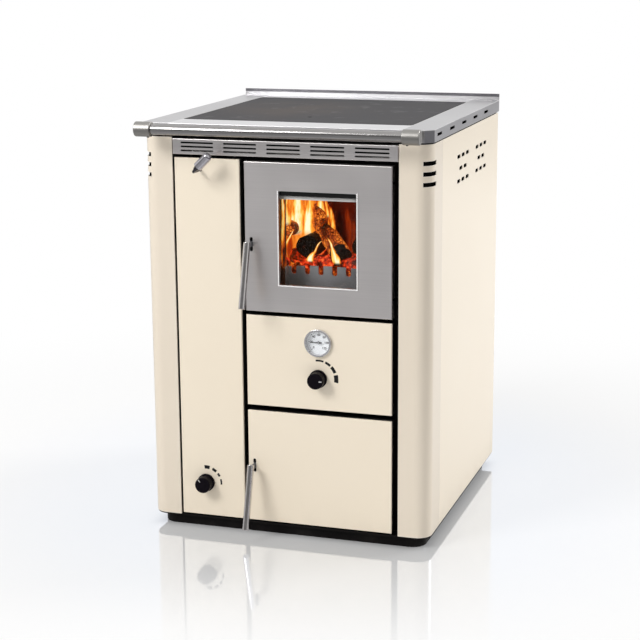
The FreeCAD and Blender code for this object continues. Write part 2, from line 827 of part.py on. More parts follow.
def make_flue_collar():
    """The flue spigot with its welding flange on the body's back."""
    y1 = rear_y + flue_projection
    collar = y_rod(flue_x, flue_z, shell_rear_y, y1, flue_radius)
    flange = y_rod(flue_x, flue_z, shell_rear_y, shell_rear_y + flue_flange_thickness, flue_flange_radius)
    bore = y_rod(flue_x, flue_z, shell_rear_y - cut_overrun, y1 + cut_overrun, flue_radius - flue_wall)
    return collar.fuse(flange).cut(bore).removeSplitter()


def make_water_sockets():
    """The flow and return sockets on the jacket's rear wall."""
    y1 = rear_y + water_socket_projection
    sockets = []
    for z in (flow_z, return_z):
        socket = y_rod(water_x, z, shell_inner_y, y1, water_socket_radius)
        socket = socket.cut(y_rod(water_x, z, shell_inner_y - cut_overrun, y1, water_pipe_radius))
        sockets.append(socket.cut(y_rod(water_x, z, y1 - water_thread_length, y1 + cut_overrun,
                                        water_thread_radius)))
    return Part.makeCompound(sockets)


# Firebox
grate_y0 = firebox_y0 + brick_thickness + grate_end_margin
grate_y1 = firebox_y1 - brick_thickness - grate_end_margin
grate_x0 = lining_x0 + grate_side_margin
grate_x1 = lining_x1 - grate_side_margin


def make_grate_plate():
    """The plate under the firebox with the partition and the floor of the flue passage."""
    plate = block(jacket_x0, shell_inner_x, plate_rear_y, shell_inner_y, grate_plate_z0, grate_plate_z1)
    plate = plate.cut(block(grate_x0 + grate_seat, grate_x1 - grate_seat,
                            grate_y0 + grate_seat, grate_y1 - grate_seat,
                            grate_plate_z0 - cut_overrun, grate_plate_z1 + cut_overrun))
    floor_z = casing_bottom + shell_sheet
    wall = block(jacket_x0, jacket_x0 + partition_sheet, plate_rear_y, shell_inner_y, floor_z, grate_plate_z0)
    air_y0 = plate_rear_y + air_passage_setback
    wall = wall.cut(block(jacket_x0 - cut_overrun, jacket_x0 + partition_sheet + cut_overrun,
                          air_y0, air_y0 + air_passage_width,
                          floor_z + air_passage_rise, floor_z + air_passage_rise + air_passage_height))
    passage_z = floor_z + passage_floor_rise
    passage = block(-shell_inner_x, jacket_x0, plate_rear_y, shell_inner_y,
                    passage_z, passage_z + partition_sheet)
    return fuse_all([plate, wall, passage])


def make_grate():
    """The cast grate: a rim with long slots between its bars."""
    grate = block(grate_x0, grate_x1, grate_y0, grate_y1, grate_plate_z1, grate_plate_z1 + grate_thickness)
    pitch = (grate_x1 - grate_x0 - 2 * grate_rim) / grate_slots
    slot_width = pitch * grate_slot_share
    slots = []
    for place in range(grate_slots):
        x = grate_x0 + grate_rim + (place + 1 / 2) * pitch
        slots.append(rounded_block(x - slot_width / 2, x + slot_width / 2,
                                   grate_y0 + grate_rim, grate_y1 - grate_rim,
                                   grate_plate_z1 - cut_overrun, grate_plate_z1 + grate_thickness + cut_overrun,
                                   slot_width / 2 - press_fit, Z_AXIS))
    return grate.cut(slots)


def make_firebricks():
    """The loose bricks that line the foot of the firebox, two to each side."""
    z0 = grate_plate_z1
    z1 = z0 + brick_height
    middle_y = (firebox_y0 + firebox_y1) / 2
    bricks = []
    for x0, x1 in ((firebox_x0, lining_x0), (lining_x1, firebox_x1)):
        for y0, y1 in ((firebox_y0, middle_y), (middle_y, firebox_y1)):
            bricks.append(rounded_block(x0, x1, y0, y1, z0, z1, brick_edge_radius, Z_AXIS))
    for y0, y1 in ((firebox_y0, firebox_y0 + brick_thickness), (firebox_y1 - brick_thickness, firebox_y1)):
        bricks.append(rounded_block(lining_x0, lining_x1, y0, y1, z0, z1, brick_edge_radius, Z_AXIS))
    return Part.makeCompound(bricks)


def make_log_guard():
    """The comb-edged plate that keeps logs from the glass, bent to stand on the mouth's floor."""
    x0 = mouth_x0 + mouth_corner_radius
    x1 = mouth_x1 - mouth_corner_radius
    y0 = front_y + guard_setback
    z0 = fire_mouth_z0
    middle_x = (x0 + x1) / 2
    shoulder_z = z0 + guard_height
    crown = Part.Arc(V(x0, y0, shoulder_z), V(middle_x, y0, shoulder_z + guard_arch), V(x1, y0, shoulder_z))
    sides = [Part.makeLine(V(x1, y0, shoulder_z), V(x1, y0, z0)),
             Part.makeLine(V(x1, y0, z0), V(x0, y0, z0)),
             Part.makeLine(V(x0, y0, z0), V(x0, y0, shoulder_z))]
    plate = Part.Face(Part.Wire([crown.toShape()] + sides)).extrude(Y_AXIS * guard_sheet)
    pitch = (x1 - x0 - 2 * guard_notch_end_margin) / (guard_notches - 1)
    notch = pitch * guard_notch_share
    notch_z = shoulder_z - guard_notch_depth + notch / 2
    for place in range(guard_notches):
        x = x0 + guard_notch_end_margin + place * pitch
        plate = plate.cut(block(x - notch / 2, x + notch / 2, y0 - cut_overrun, y0 + guard_sheet + cut_overrun,
                                notch_z, shoulder_z + guard_arch + cut_overrun))
        plate = plate.cut(y_rod(x, notch_z, y0 - cut_overrun, y0 + guard_sheet + cut_overrun, notch / 2))
    foot = block(x0, x1, y0, y0 + guard_foot, z0, z0 + guard_sheet)
    return plate.fuse(foot).removeSplitter()


def make_ash_pan():
    """The open ash pan on the body's runners, with a folded grip along its front edge."""
    pan = block(pan_x0, pan_x1, pan_y0, pan_y1, pan_z0, pan_z1)
    pan = pan.cut(block(pan_x0 + pan_sheet, pan_x1 - pan_sheet, pan_y0 + pan_sheet, pan_y1 - pan_sheet,
                        pan_z0 + pan_sheet, pan_z1 + cut_overrun))
    middle_x = (pan_x0 + pan_x1) / 2
    grip_x = (pan_x1 - pan_x0) / 4
    grip_z = pan_z1 - pan_grip_height
    lip_y = pan_y0 - pan_grip_reach
    grip = block(middle_x - grip_x, middle_x + grip_x, lip_y, pan_y0, grip_z, grip_z + pan_sheet)
    turned = block(middle_x - grip_x, middle_x + grip_x, lip_y, lip_y + pan_sheet, grip_z, pan_z1)
    return fuse_all([pan, grip, turned])


# Doors
def hinge_levels(z0, z1):
    """The heights of a door's two hinge brackets."""
    return (z0 + hinge_end_inset, z1 - hinge_end_inset)


def cut_hinge_notches(panel, z0, z1):
    """Notches in a door panel's hinge edge, so that the brackets can pass as it swings."""
    for z in hinge_levels(z0, z1):
        panel = panel.cut(block(hinge_x - hinge_bracket_half_width - hinge_notch_clearance,
                                door_x1 + cut_overrun,
                                panel_back_y + hinge_notch_clearance, panel_rim_y + cut_overrun,
                                z - hinge_notch_clearance,
                                z + hinge_bracket_thickness + hinge_lift_gap))
    return panel


def latch_slot(z):
    """A cutter for the upright slot that a latch lever passes through."""
    return rounded_block(latch_x - latch_slot_width / 2, latch_x + latch_slot_width / 2,
                         front_y - cut_overrun, panel_back_y + latch_base_sheet + cut_overrun,
                         z - latch_slot_height / 2, z + latch_slot_height / 2,
                         latch_slot_width / 2 - press_fit, Y_AXIS)


def door_panel(z0, z1, latch_z):
    """A folded door panel with its hinge notches and latch slot."""
    panel = cut_hinge_notches(folded_panel(door_x0, door_x1, z0, z1), z0, z1)
    return panel.cut(latch_slot(latch_z))


window_x0 = door_x0 + window_side_inset
window_x1 = door_x1 - window_side_inset
window_z0 = fire_door_z0 + window_foot_inset
window_z1 = fire_door_z1 - window_head_inset
glass_y0 = front_y + window_reveal
glass_y1 = glass_y0 + glass_thickness


def window_block(margin, y0, y1):
    """The window's outline as a block, widened by a margin."""
    return rounded_block(window_x0 - margin, window_x1 + margin, y0, y1,
                         window_z0 - margin, window_z1 + margin,
                         window_corner_radius + casing_sheet, Y_AXIS)


def make_fire_door_panel():
    """The stainless outer panel of the fire door, with a folded-in window reveal."""
    panel = door_panel(fire_door_z0, fire_door_z1, fire_latch_z)
    panel = panel.fuse(window_block(casing_sheet, panel_back_y - casing_sheet / 2, glass_y0))
    return panel.cut(window_block(0, front_y - cut_overrun, glass_y0 + cut_overrun)).removeSplitter()


def make_ash_door_panel():
    """The outer panel of the ash door."""
    return door_panel(foot_z, ash_door_top, ash_latch_z)


liner_back_y = plate_front_y - gasket_gap - gasket_section


def door_liner(z0, z1):
    """A dished liner behind a door panel: walls and a back that carries the gasket."""
    x0 = mouth_x0 - door_liner_border
    x1 = mouth_x1 + door_liner_border
    liner = block(x0, x1, panel_back_y, liner_back_y, z0 - door_liner_border, z1 + door_liner_border)
    t = door_liner_sheet
    return liner.cut(block(x0 + t, x1 - t, panel_back_y - cut_overrun, liner_back_y - t,
                           z0 - door_liner_border + t, z1 + door_liner_border - t))


def make_fire_door_frame():
    """The fire door's liner, opened behind the glass."""
    liner = door_liner(fire_mouth_z0, fire_mouth_z1)
    t = door_liner_sheet
    wall = rounded_block(mouth_x0 - t, mouth_x1 + t, panel_back_y, liner_back_y,
                         fire_mouth_z0 - t, fire_mouth_z1 + t, mouth_corner_radius + t, Y_AXIS)
    return liner.fuse(wall).cut(mouth_cutter(fire_mouth_z0, fire_mouth_z1, panel_back_y - cut_overrun,
                                             liner_back_y + cut_overrun)).removeSplitter()


def make_ash_door_liner():
    """The ash door's liner, closed all over."""
    return door_liner(ash_mouth_z0, ash_mouth_z1)


def door_gasket(z0, z1):
    """The rope gasket on a liner's back, a ring round the door's opening."""
    near = (door_liner_border - gasket_section) / 2
    far = near + gasket_section
    y1 = liner_back_y + gasket_section
    ring = rounded_block(mouth_x0 - far, mouth_x1 + far, liner_back_y, y1, z0 - far, z1 + far,
                         mouth_corner_radius + far, Y_AXIS)
    return ring.cut(rounded_block(mouth_x0 - near, mouth_x1 + near, liner_back_y - cut_overrun,
                                  y1 + cut_overrun, z0 - near, z1 + near,
                                  mouth_corner_radius + near, Y_AXIS))


def make_fire_door_glass():
    """The ceramic glass pane, seated on the reveal's rear edge."""
    return window_block(glass_margin, glass_y0, glass_y1)


def make_glass_clips():
    """The clips on the frame's wall that press the glass on to the reveal."""
    clips = []
    quarter = (window_z1 - window_z0) / 4
    for z in (window_z0 + quarter, window_z1 - quarter):
        for wall_x, glass_x in ((mouth_x0, window_x0 - glass_margin), (mouth_x1, window_x1 + glass_margin)):
            inner_x = glass_x + math.copysign(clip_reach, (window_x0 + window_x1) / 2 - glass_x)
            clips.append(block(min(wall_x, inner_x), max(wall_x, inner_x), glass_y1, glass_y1 + clip_thickness,
                               z - clip_length / 2, z + clip_length / 2))
    return Part.makeCompound(clips)


def hinge_ears(z0, z1):
    """The ears inside a door panel that turn on the hinge pins."""
    ears = []
    for z in hinge_levels(z0, z1):
        ear_z = z + hinge_bracket_thickness + hinge_lift_gap
        ear = block(hinge_x - hinge_ear_reach, door_x1 - casing_sheet, panel_back_y,
                    panel_rim_y - casing_sheet, ear_z, ear_z + hinge_ear_thickness)
        ears.append(ear.cut(rod(V(hinge_x, hinge_y, ear_z - cut_overrun),
                                V(hinge_x, hinge_y, ear_z + hinge_ear_thickness + cut_overrun),
                                hinge_pin_radius + running_fit)))
    return Part.makeCompound(ears)


def make_hinge_brackets():
    """The brackets on the front plate with their upright pins, two to each door."""
    brackets = []
    for z0, z1 in ((foot_z, ash_door_top), (fire_door_z0, fire_door_z1)):
        for z in hinge_levels(z0, z1):
            z_top = z + hinge_bracket_thickness
            arm = block(hinge_x - hinge_bracket_half_width, hinge_x + hinge_bracket_half_width,
                        hinge_y, plate_front_y, z, z_top)
            nose = rod(V(hinge_x, hinge_y, z), V(hinge_x, hinge_y, z_top), hinge_bracket_half_width)
            pin = rod(V(hinge_x, hinge_y, z), V(hinge_x, hinge_y, z_top + hinge_pin_rise), hinge_pin_radius)
            brackets.append(fuse_all([arm, nose, pin]))
    return Part.makeCompound(brackets)


# Latches
def latch_lever(z):
    """A flat lever on the latch pin: an arm through the door to the handle and a claw behind."""
    x0 = latch_x - latch_lever_thickness / 2
    x1 = latch_x + latch_lever_thickness / 2
    keeper_y = latch_y + keeper_pin_reach
    keeper_z = z - keeper_pin_drop
    hook_top = keeper_z - keeper_pin_radius - claw_gap
    hook_foot = hook_top - claw_arm_height
    claw_y0 = keeper_y + keeper_pin_radius + claw_gap
    claw_y1 = claw_y0 + claw_thickness
    hub = x_rod(latch_y, z, x0, x1, latch_hub_radius)
    arm = block(x0, x1, latch_y - latch_arm_reach, latch_y, z - latch_arm_height / 2, z + latch_arm_height / 2)
    hook_arm = prism([V(x0, latch_y, z), V(x0, latch_y + latch_hub_radius, hook_top),
                      V(x0, claw_y1, hook_top), V(x0, claw_y1, hook_foot),
                      V(x0, latch_y, hook_foot)], X_AXIS * latch_lever_thickness)
    claw = block(x0, x1, claw_y0, claw_y1, hook_foot, keeper_z + claw_rise)
    lever = fuse_all([hub, arm, hook_arm, claw])
    return lever.cut(x_rod(latch_y, z, x0 - cut_overrun, x1 + cut_overrun, latch_pin_radius + running_fit))


def door_handle(z, lever):
    """The round rod of a door handle, slotted at its top to take the lever's arm."""
    lean = math.radians(handle_lean_angle)
    down = V(0, -math.sin(lean), -math.cos(lean))
    top = V(latch_x, front_y - handle_standoff, z + handle_top_rise)
    bar = rod(top, top + down * handle_length, handle_radius)
    rims = [edge for edge in bar.Edges if isinstance(edge.Curve, Part.Circle)]
    return bar.makeFillet(handle_edge_radius, rims).cut(lever)


def latch_bracket(z):
    """The bracket inside a door panel: a slotted base plate and two cheeks for the latch pin."""
    y1 = panel_back_y + latch_base_sheet
    base = block(latch_x - latch_base_width / 2, latch_x + latch_base_width / 2, panel_back_y, y1,
                 z - latch_base_height / 2, z + latch_base_height / 2).cut(latch_slot(z))
    pieces = [base]
    near = latch_lever_thickness / 2 + latch_side_gap
    for x0 in (latch_x - near - latch_cheek, latch_x + near):
        cheek = block(x0, x0 + latch_cheek, panel_back_y, latch_y, z - latch_cheek_reach, z + latch_cheek_reach)
        pieces.append(cheek)
        pieces.append(x_rod(latch_y, z, x0, x0 + latch_cheek, latch_cheek_reach))
    bracket = fuse_all(pieces)
    slot_gap = block(latch_x - near, latch_x + near, panel_back_y - cut_overrun, latch_y + 2 * latch_cheek_reach,
                     z - latch_slot_height / 2, z + latch_slot_height / 2)
    bore = x_rod(latch_y, z, latch_x - latch_base_width, latch_x + latch_base_width,
                 latch_pin_radius + press_fit)
    return bracket.cut(slot_gap).cut(bore)


def latch_pin(z):
    """The cross pin of a latch, flush with its bracket's cheeks."""
    half = latch_lever_thickness / 2 + latch_side_gap + latch_cheek
    return x_rod(latch_y, z, latch_x - half, latch_x + half, latch_pin_radius)


def make_latch_keepers():
    """The keepers on the front plate: two cheeks with a cross pin that a claw hooks behind."""
    keepers = []
    near = latch_lever_thickness / 2 + keeper_side_gap
    y = latch_y + keeper_pin_reach
    for z in (fire_latch_z - keeper_pin_drop, ash_latch_z - keeper_pin_drop):
        pieces = [x_rod(y, z, latch_x - near - keeper_cheek, latch_x + near + keeper_cheek, keeper_pin_radius)]
        for x0 in (latch_x - near - keeper_cheek, latch_x + near):
            pieces.append(block(x0, x0 + keeper_cheek, y - keeper_pin_radius, plate_front_y,
                                z - keeper_cheek_height / 2, z + keeper_cheek_height / 2))
        keepers.append(fuse_all(pieces))
    return Part.makeCompound(keepers)


# Damper
damper_slope = math.radians(damper_grip_angle)
damper_way = V(math.cos(damper_slope), 0, math.sin(damper_slope))
damper_bend_y = front_y - damper_standoff
damper_foot = V(damper_x, damper_bend_y, damper_z)


def make_damper_rod():
    """The damper's bent rod: along the flue passage, out through the front, then up to the grip."""
    rear = V(damper_x, flap_y1 + flap_sleeve_wall + damper_lug_sheet + damper_rod_end, damper_z)
    bend_start = damper_foot + Y_AXIS * damper_bend_radius
    bend_end = damper_foot + damper_way * damper_bend_radius
    centre = bend_start + damper_way * damper_bend_radius
    middle = centre + (damper_foot - centre).normalize() * damper_bend_radius
    tip = bend_end + damper_way * damper_tail
    path = Part.Wire([Part.makeLine(rear, bend_start),
                      Part.Arc(bend_start, middle, bend_end).toShape(),
                      Part.makeLine(bend_end, tip)])
    section = Part.Wire(Part.makeCircle(damper_rod_radius, rear, Y_AXIS))
    return path.makePipeShell([section], True, False)


def make_damper_grip():
    """The cylinder grip on the rod's tail: a tapered ferrule at its foot, a dome at its free end."""
    start = damper_foot + damper_way * damper_bend_radius
    shoulder = start + damper_way * damper_ferrule_length
    end = start + damper_way * damper_grip_length
    ferrule = Part.makeCone(damper_ferrule_tip_radius, damper_ferrule_radius, damper_ferrule_length,
                            start, damper_way)
    grip = rod(shoulder, end, damper_grip_radius)
    middle = (shoulder + end) / 2
    dome = [edge for edge in grip.Edges if isinstance(edge.Curve, Part.Circle)
            and (edge.Curve.Center - end).Length < (middle - end).Length]
    grip = grip.makeFillet(damper_grip_edge, dome).fuse(ferrule)
    return grip.cut(rod(start - damper_way * cut_overrun, start + damper_way * damper_tail,
                        damper_rod_radius))


def make_damper_flap():
    """The flap plate with its sleeve on the rod, in line with the grip."""
    sleeve_radius = damper_rod_radius + flap_sleeve_wall
    sleeve = y_rod(damper_x, damper_z, flap_y0, flap_y1, sleeve_radius)
    plate = block(damper_x - flap_width / 2, damper_x + flap_width / 2, flap_y0, flap_y1,
                  damper_z - flap_sheet / 2, damper_z + flap_sheet / 2)
    plate.rotate(V(damper_x, 0, damper_z), Y_AXIS, -damper_grip_angle)
    bore = y_rod(damper_x, damper_z, flap_y0 - cut_overrun, flap_y1 + cut_overrun,
                 damper_rod_radius + press_fit)
    return sleeve.fuse(plate).cut(bore).removeSplitter()


# Knobs
knob_back_y = front_y - knob_panel_gap
knob_front_y = knob_back_y - knob_height


def knob(x, z):
    """A turning knob: a low skirt and a tall grip, bored from behind for its spindle."""
    skirt = y_rod(x, z, knob_back_y - knob_skirt_height, knob_back_y, knob_skirt_radius)
    grip = y_rod(x, z, knob_front_y, knob_back_y, knob_radius)
    body = skirt.fuse(grip)
    front = [edge for edge in body.Edges if edge.BoundBox.YMax < knob_front_y + knob_edge_radius]
    body = body.makeFillet(knob_edge_radius, front)
    return body.cut(y_rod(x, z, knob_back_y - knob_spindle_depth, knob_back_y + cut_overrun,
                          spindle_radius + press_fit))


def make_air_valve():
    """The air valve's disc with its ports, on the spindle that the air knob turns."""
    y1 = plate_front_y - air_disc_gap
    y0 = y1 - air_disc_sheet
    disc = y_rod(air_knob_x, air_knob_z, y0, y1, air_disc_radius)
    disc = disc.cut(air_port_cutters(y0 - cut_overrun, y1 + cut_overrun))
    spindle = y_rod(air_knob_x, air_knob_z, knob_back_y - knob_spindle_depth, plate_rear_y + air_spindle_end,
                    spindle_radius)
    return disc.fuse(spindle).removeSplitter()


def make_thermostat_body():
    """The thermostat's housing, fixed to the back of the middle panel."""
    y1 = panel_back_y + thermostat_depth
    body = rounded_block(gauge_x - thermostat_width / 2, gauge_x + thermostat_width / 2, panel_back_y, y1,
                         thermostat_z - thermostat_height / 2, thermostat_z + thermostat_height / 2,
                         thermostat_edge_radius, Y_AXIS)
    return body.cut(y_rod(gauge_x, thermostat_z, panel_back_y - cut_overrun,
                          panel_back_y + thermostat_depth / 2, spindle_radius + running_fit))


def make_thermostat_spindle():
    """The spindle between the thermostat and its knob."""
    return y_rod(gauge_x, thermostat_z, knob_back_y - knob_spindle_depth,
                 panel_back_y + thermostat_depth / 2 - thermostat_spindle_gap, spindle_radius)


# Thermometer
gauge_front_y = front_y - gauge_bezel_height
gauge_floor_y = front_y + gauge_body_depth
gauge_inner_radius = gauge_body_radius - gauge_wall
dial_y = gauge_floor_y - gauge_wall - gauge_dial_sheet


def make_thermometer_case():
    """The thermometer's cup with its bezel and the stem that reaches into the water."""
    bezel = y_rod(gauge_x, gauge_z, gauge_front_y, front_y, gauge_radius)
    rim = [edge for edge in bezel.Edges if edge.BoundBox.YMax < gauge_front_y + gauge_wall]
    bezel = bezel.makeFillet(gauge_wall, rim)
    cup = y_rod(gauge_x, gauge_z, gauge_front_y + gauge_wall, gauge_floor_y, gauge_body_radius)
    stem = y_rod(gauge_x, gauge_z, gauge_floor_y, gauge_floor_y + gauge_stem_length, gauge_stem_radius)
    case = fuse_all([bezel, cup, stem])
    return case.cut(y_rod(gauge_x, gauge_z, gauge_front_y - cut_overrun, gauge_floor_y - gauge_wall,
                          gauge_inner_radius))


def make_thermometer_dial():
    """The dial plate with the needle's pin."""
    dial = y_rod(gauge_x, gauge_z, dial_y, dial_y + gauge_dial_sheet, gauge_inner_radius)
    pin = y_rod(gauge_x, gauge_z, dial_y - needle_pin_height, dial_y, needle_pin_radius)
    return dial.fuse(pin).removeSplitter()


def make_thermometer_glass():
    """The flat glass inside the bezel."""
    y0 = gauge_front_y + gauge_glass_inset
    return y_rod(gauge_x, gauge_z, y0, y0 + gauge_glass_thickness, gauge_inner_radius)


def make_thermometer_needle():
    """The tapering needle with its hub on the dial's pin, pointing at nine o'clock."""
    y1 = dial_y - needle_lift
    y0 = y1 - needle_sheet
    hub = y_rod(gauge_x, gauge_z, y0, y1, needle_hub_radius)
    root = needle_root_width / 2
    tip = needle_tip_width / 2
    outline = [V(gauge_x - needle_tail, y0, gauge_z - root), V(gauge_x - needle_tail, y0, gauge_z + root),
               V(gauge_x + needle_length, y0, gauge_z + tip), V(gauge_x + needle_length, y0, gauge_z - tip)]
    blade = prism(outline, Y_AXIS * needle_sheet)
    needle = hub.fuse(blade).removeSplitter()
    needle = needle.cut(y_rod(gauge_x, gauge_z, y0 - cut_overrun, y1 + cut_overrun,
                              needle_pin_radius + running_fit))
    needle.rotate(V(gauge_x, 0, gauge_z), Y_AXIS, needle_rest_angle)
    return needle


# Every sub-part, written under its own name
def build():
    """All sub-parts by name."""
    pillar = make_right_pillar()
    side_panel = make_right_side_panel()
    fire_lever = latch_lever(fire_latch_z)
    ash_lever = latch_lever(ash_latch_z)
    return {
        "plinth": make_plinth(),
        "base_plate": make_base_plate(),
        "right_corner_pillar": pillar,
        "left_corner_pillar": mirror_x(pillar),
        "right_side_panel": side_panel,
        "left_side_panel": mirror_x(side_panel),
        "back_panel": make_back_panel(),
        "front_plate": make_front_plate(),
        "vent_strip": make_vent_strip(),
        "tall_front_panel": make_tall_panel(),
        "middle_front_panel": make_middle_panel(),
        "panel_spacers": make_panel_spacers(),
        "hob_frame": make_hob_frame(),
        "rear_upstand": make_rear_upstand(),
        "hob_bearer": make_hob_bearer(),
        "hob_seal": make_hob_seal(),
        "hob_plate": make_hob_plate(),
        "towel_rail": make_towel_rail(),
        "rail_sockets": make_rail_sockets(),
        "body_shell": make_body_shell(),
        "water_jacket": make_water_jacket(),
        "flue_collar": make_flue_collar(),
        "water_sockets": make_water_sockets(),
        "grate_plate": make_grate_plate(),
        "grate": make_grate(),
        "firebricks": make_firebricks(),
        "log_guard": make_log_guard(),
        "ash_pan": make_ash_pan(),
        "latch_keepers": make_latch_keepers(),
        "hinge_brackets": make_hinge_brackets(),
        "thermometer_case": make_thermometer_case(),
        "thermometer_dial": make_thermometer_dial(),
        "thermometer_glass": make_thermometer_glass(),
        "thermometer_needle": make_thermometer_needle(),
        "thermostat_body": make_thermostat_body(),
        "thermostat_spindle": make_thermostat_spindle(),
        "thermostat_knob": knob(gauge_x, thermostat_z),
        "fire_door_panel": make_fire_door_panel(),
        "fire_door_frame": make_fire_door_frame(),
        "fire_door_glass": make_fire_door_glass(),
        "fire_door_glass_clips": make_glass_clips(),
        "fire_door_gasket": door_gasket(fire_mouth_z0, fire_mouth_z1),
        "fire_door_hinge_ears": hinge_ears(fire_door_z0, fire_door_z1),
        "fire_latch_bracket": latch_bracket(fire_latch_z),
        "fire_latch_pin": latch_pin(fire_latch_z),
        "fire_latch_lever": fire_lever,
        "fire_door_handle": door_handle(fire_latch_z, fire_lever),
        "ash_door_panel": make_ash_door_panel(),
        "ash_door_liner": make_ash_door_liner(),
        "ash_door_gasket": door_gasket(ash_mouth_z0, ash_mouth_z1),
        "ash_door_hinge_ears": hinge_ears(foot_z, ash_door_top),
        "ash_latch_bracket": latch_bracket(ash_latch_z),
        "ash_latch_pin": latch_pin(ash_latch_z),
        "ash_latch_lever": ash_lever,
        "ash_door_handle": door_handle(ash_latch_z, ash_lever),
        "damper_rod": make_damper_rod(),
        "damper_grip": make_damper_grip(),
        "damper_flap": make_damper_flap(),
        "air_knob": knob(air_knob_x, air_knob_z),
        "air_valve": make_air_valve(),
    }


os.makedirs("parts", exist_ok=True)
for name, shape in build().items():
    shape.exportStep("parts/" + name + ".step")
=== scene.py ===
"""A free-standing boiler stove, dressed piece by piece in the order it is put together."""
import bmesh
import bpy
import math
from mathutils import Matrix, Vector, noise


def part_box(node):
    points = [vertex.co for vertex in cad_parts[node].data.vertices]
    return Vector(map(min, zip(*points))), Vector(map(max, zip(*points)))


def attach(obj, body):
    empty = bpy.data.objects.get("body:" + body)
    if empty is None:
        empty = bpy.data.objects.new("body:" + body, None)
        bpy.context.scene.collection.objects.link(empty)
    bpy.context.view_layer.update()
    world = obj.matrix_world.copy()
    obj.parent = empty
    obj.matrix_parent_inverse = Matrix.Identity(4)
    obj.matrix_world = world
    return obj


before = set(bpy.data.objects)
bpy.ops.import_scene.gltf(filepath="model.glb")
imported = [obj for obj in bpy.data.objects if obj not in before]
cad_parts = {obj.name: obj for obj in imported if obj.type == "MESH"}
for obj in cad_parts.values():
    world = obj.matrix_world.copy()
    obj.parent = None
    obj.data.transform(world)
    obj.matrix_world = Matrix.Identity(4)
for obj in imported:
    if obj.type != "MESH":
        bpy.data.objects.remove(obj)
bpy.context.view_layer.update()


# Plinth and base plate
# A folded steel tray and the plate over it, stove-enamelled black. The enamel is a little
# uneven, duller low down where floor dust settles, and has a painted highlight along its folds.
class Tone:
    """One output in a finish's node tree; arithmetic on it adds Math nodes."""

    def __init__(self, tree, socket=None):
        self.tree = tree
        self.socket = socket

    def node(self, kind, settings=None, sockets=None, out=0):
        """Any other node: its settings first, then values or links for its sockets."""
        made = self.tree.nodes.new(kind)
        for name, value in (settings or {}).items():
            if name == "stops":
                ramp = made.color_ramp
                ramp.elements.remove(ramp.elements[1])
                ramp.elements[0].position, ramp.elements[0].color = value[0]
                for spot, colour in value[1:]:
                    ramp.elements.new(spot).color = colour
            else:
                setattr(made, name, value)
        for name, value in (sockets or {}).items():
            if isinstance(value, Tone):
                self.tree.links.new(value.socket, made.inputs[name])
            else:
                made.inputs[name].default_value = value
        return Tone(self.tree, made.outputs[out] if made.outputs else None)

    def maths(self, operation, first, second=0.0):
        return self.node("ShaderNodeMath", {"operation": operation}, {0: first, 1: second})

    def __add__(self, other):
        return self.maths("ADD", self, other)

    def __radd__(self, other):
        return self.maths("ADD", other, self)

    def __sub__(self, other):
        return self.maths("SUBTRACT", self, other)

    def __rsub__(self, other):
        return self.maths("SUBTRACT", other, self)

    def __mul__(self, other):
        return self.maths("MULTIPLY", self, other)

    def __rmul__(self, other):
        return self.maths("MULTIPLY", other, self)

    def __abs__(self):
        return self.maths("ABSOLUTE", self)


def new_finish(name):
    """An empty material and the Tone that its nodes grow from."""
    made = bpy.data.materials.new(name)
    made.use_nodes = True
    made.node_tree.nodes.clear()
    return made, Tone(made.node_tree)


def shade(start, sockets):
    """Ends a finish with its shader; plain numbers go on the shader's own sockets."""
    shader = start.node("ShaderNodeBsdfPrincipled", None, sockets)
    start.node("ShaderNodeOutputMaterial", None, {"Surface": shader})


def along(start, axis):
    """How far along an axis a point lies, in metres."""
    spot = start.node("ShaderNodeTexCoord", out="Object")
    return start.node("ShaderNodeSeparateXYZ", None, {0: spot}, out=axis)


def cloud(start, scale, stretch=(1, 1, 1), detail=3.0, rough=0.55):
    """Soft noise from 0 to 1, with a scale per metre and a stretch on each axis."""
    spot = start.node("ShaderNodeTexCoord", out="Object")
    spot = start.node("ShaderNodeMapping", None, {"Vector": spot, "Scale": stretch})
    return start.node("ShaderNodeTexNoise", None, {"Vector": spot, "Scale": scale, "Detail": detail,
                                                   "Roughness": rough})


def between(value, low, high):
    """0 below low and 1 above high, smooth between."""
    return value.node("ShaderNodeMapRange", {"interpolation_type": "SMOOTHSTEP"},
                      {"Value": value, "From Min": low, "From Max": high})


def tint(mask, under, over):
    """One colour turning into another as a mask rises."""
    return mask.node("ShaderNodeMix", {"data_type": "RGBA"}, {0: mask, 6: under, 7: over}, out=2)


def bump(height, depth):
    """A normal from a height between 0 and 1, with its depth in metres."""
    return height.node("ShaderNodeBump", None, {"Height": height, "Strength": 1.0, "Distance": depth})


def edge_highlight(start, width):
    """1 along sharp edges and 0 on open faces; it places painted highlights along edges."""
    soft = start.node("ShaderNodeBevel", {"samples": 4}, {"Radius": width})
    flat = start.node("ShaderNodeNewGeometry", out="Normal")
    same = start.node("ShaderNodeVectorMath", {"operation": "DOT_PRODUCT"}, {0: soft, 1: flat}, out="Value")
    return between(1.0 - same, 0.01, 0.2)


def coat(finish, *nodes):
    """Gives a finish to CAD nodes that keep their own shape."""
    for name in nodes:
        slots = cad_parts[name].data.materials
        slots.clear()
        slots.append(finish)


black_enamel, start = new_finish("black_enamel")
dust_height = 0.05
low_down = between(dust_height - along(start, "Z"), 0.0, dust_height)
dust = between(cloud(start, 14.0, detail=5.0), 0.45, 0.8) * low_down
dusty = tint(dust * 0.35, (0.007, 0.006, 0.006, 1), (0.05, 0.045, 0.04, 1))
# The edge mask lightens the folds: a painted highlight.
edge = edge_highlight(start, 0.0012)
shade(start, {"Base Color": tint(edge * 0.5, dusty, (0.03, 0.028, 0.028, 1)),
              "Roughness": 0.34 + 0.2 * cloud(start, 60.0), "Specular IOR Level": 0.07,
              "Normal": bump(cloud(start, 900.0), 0.00004)})
coat(black_enamel, "plinth", "base_plate")
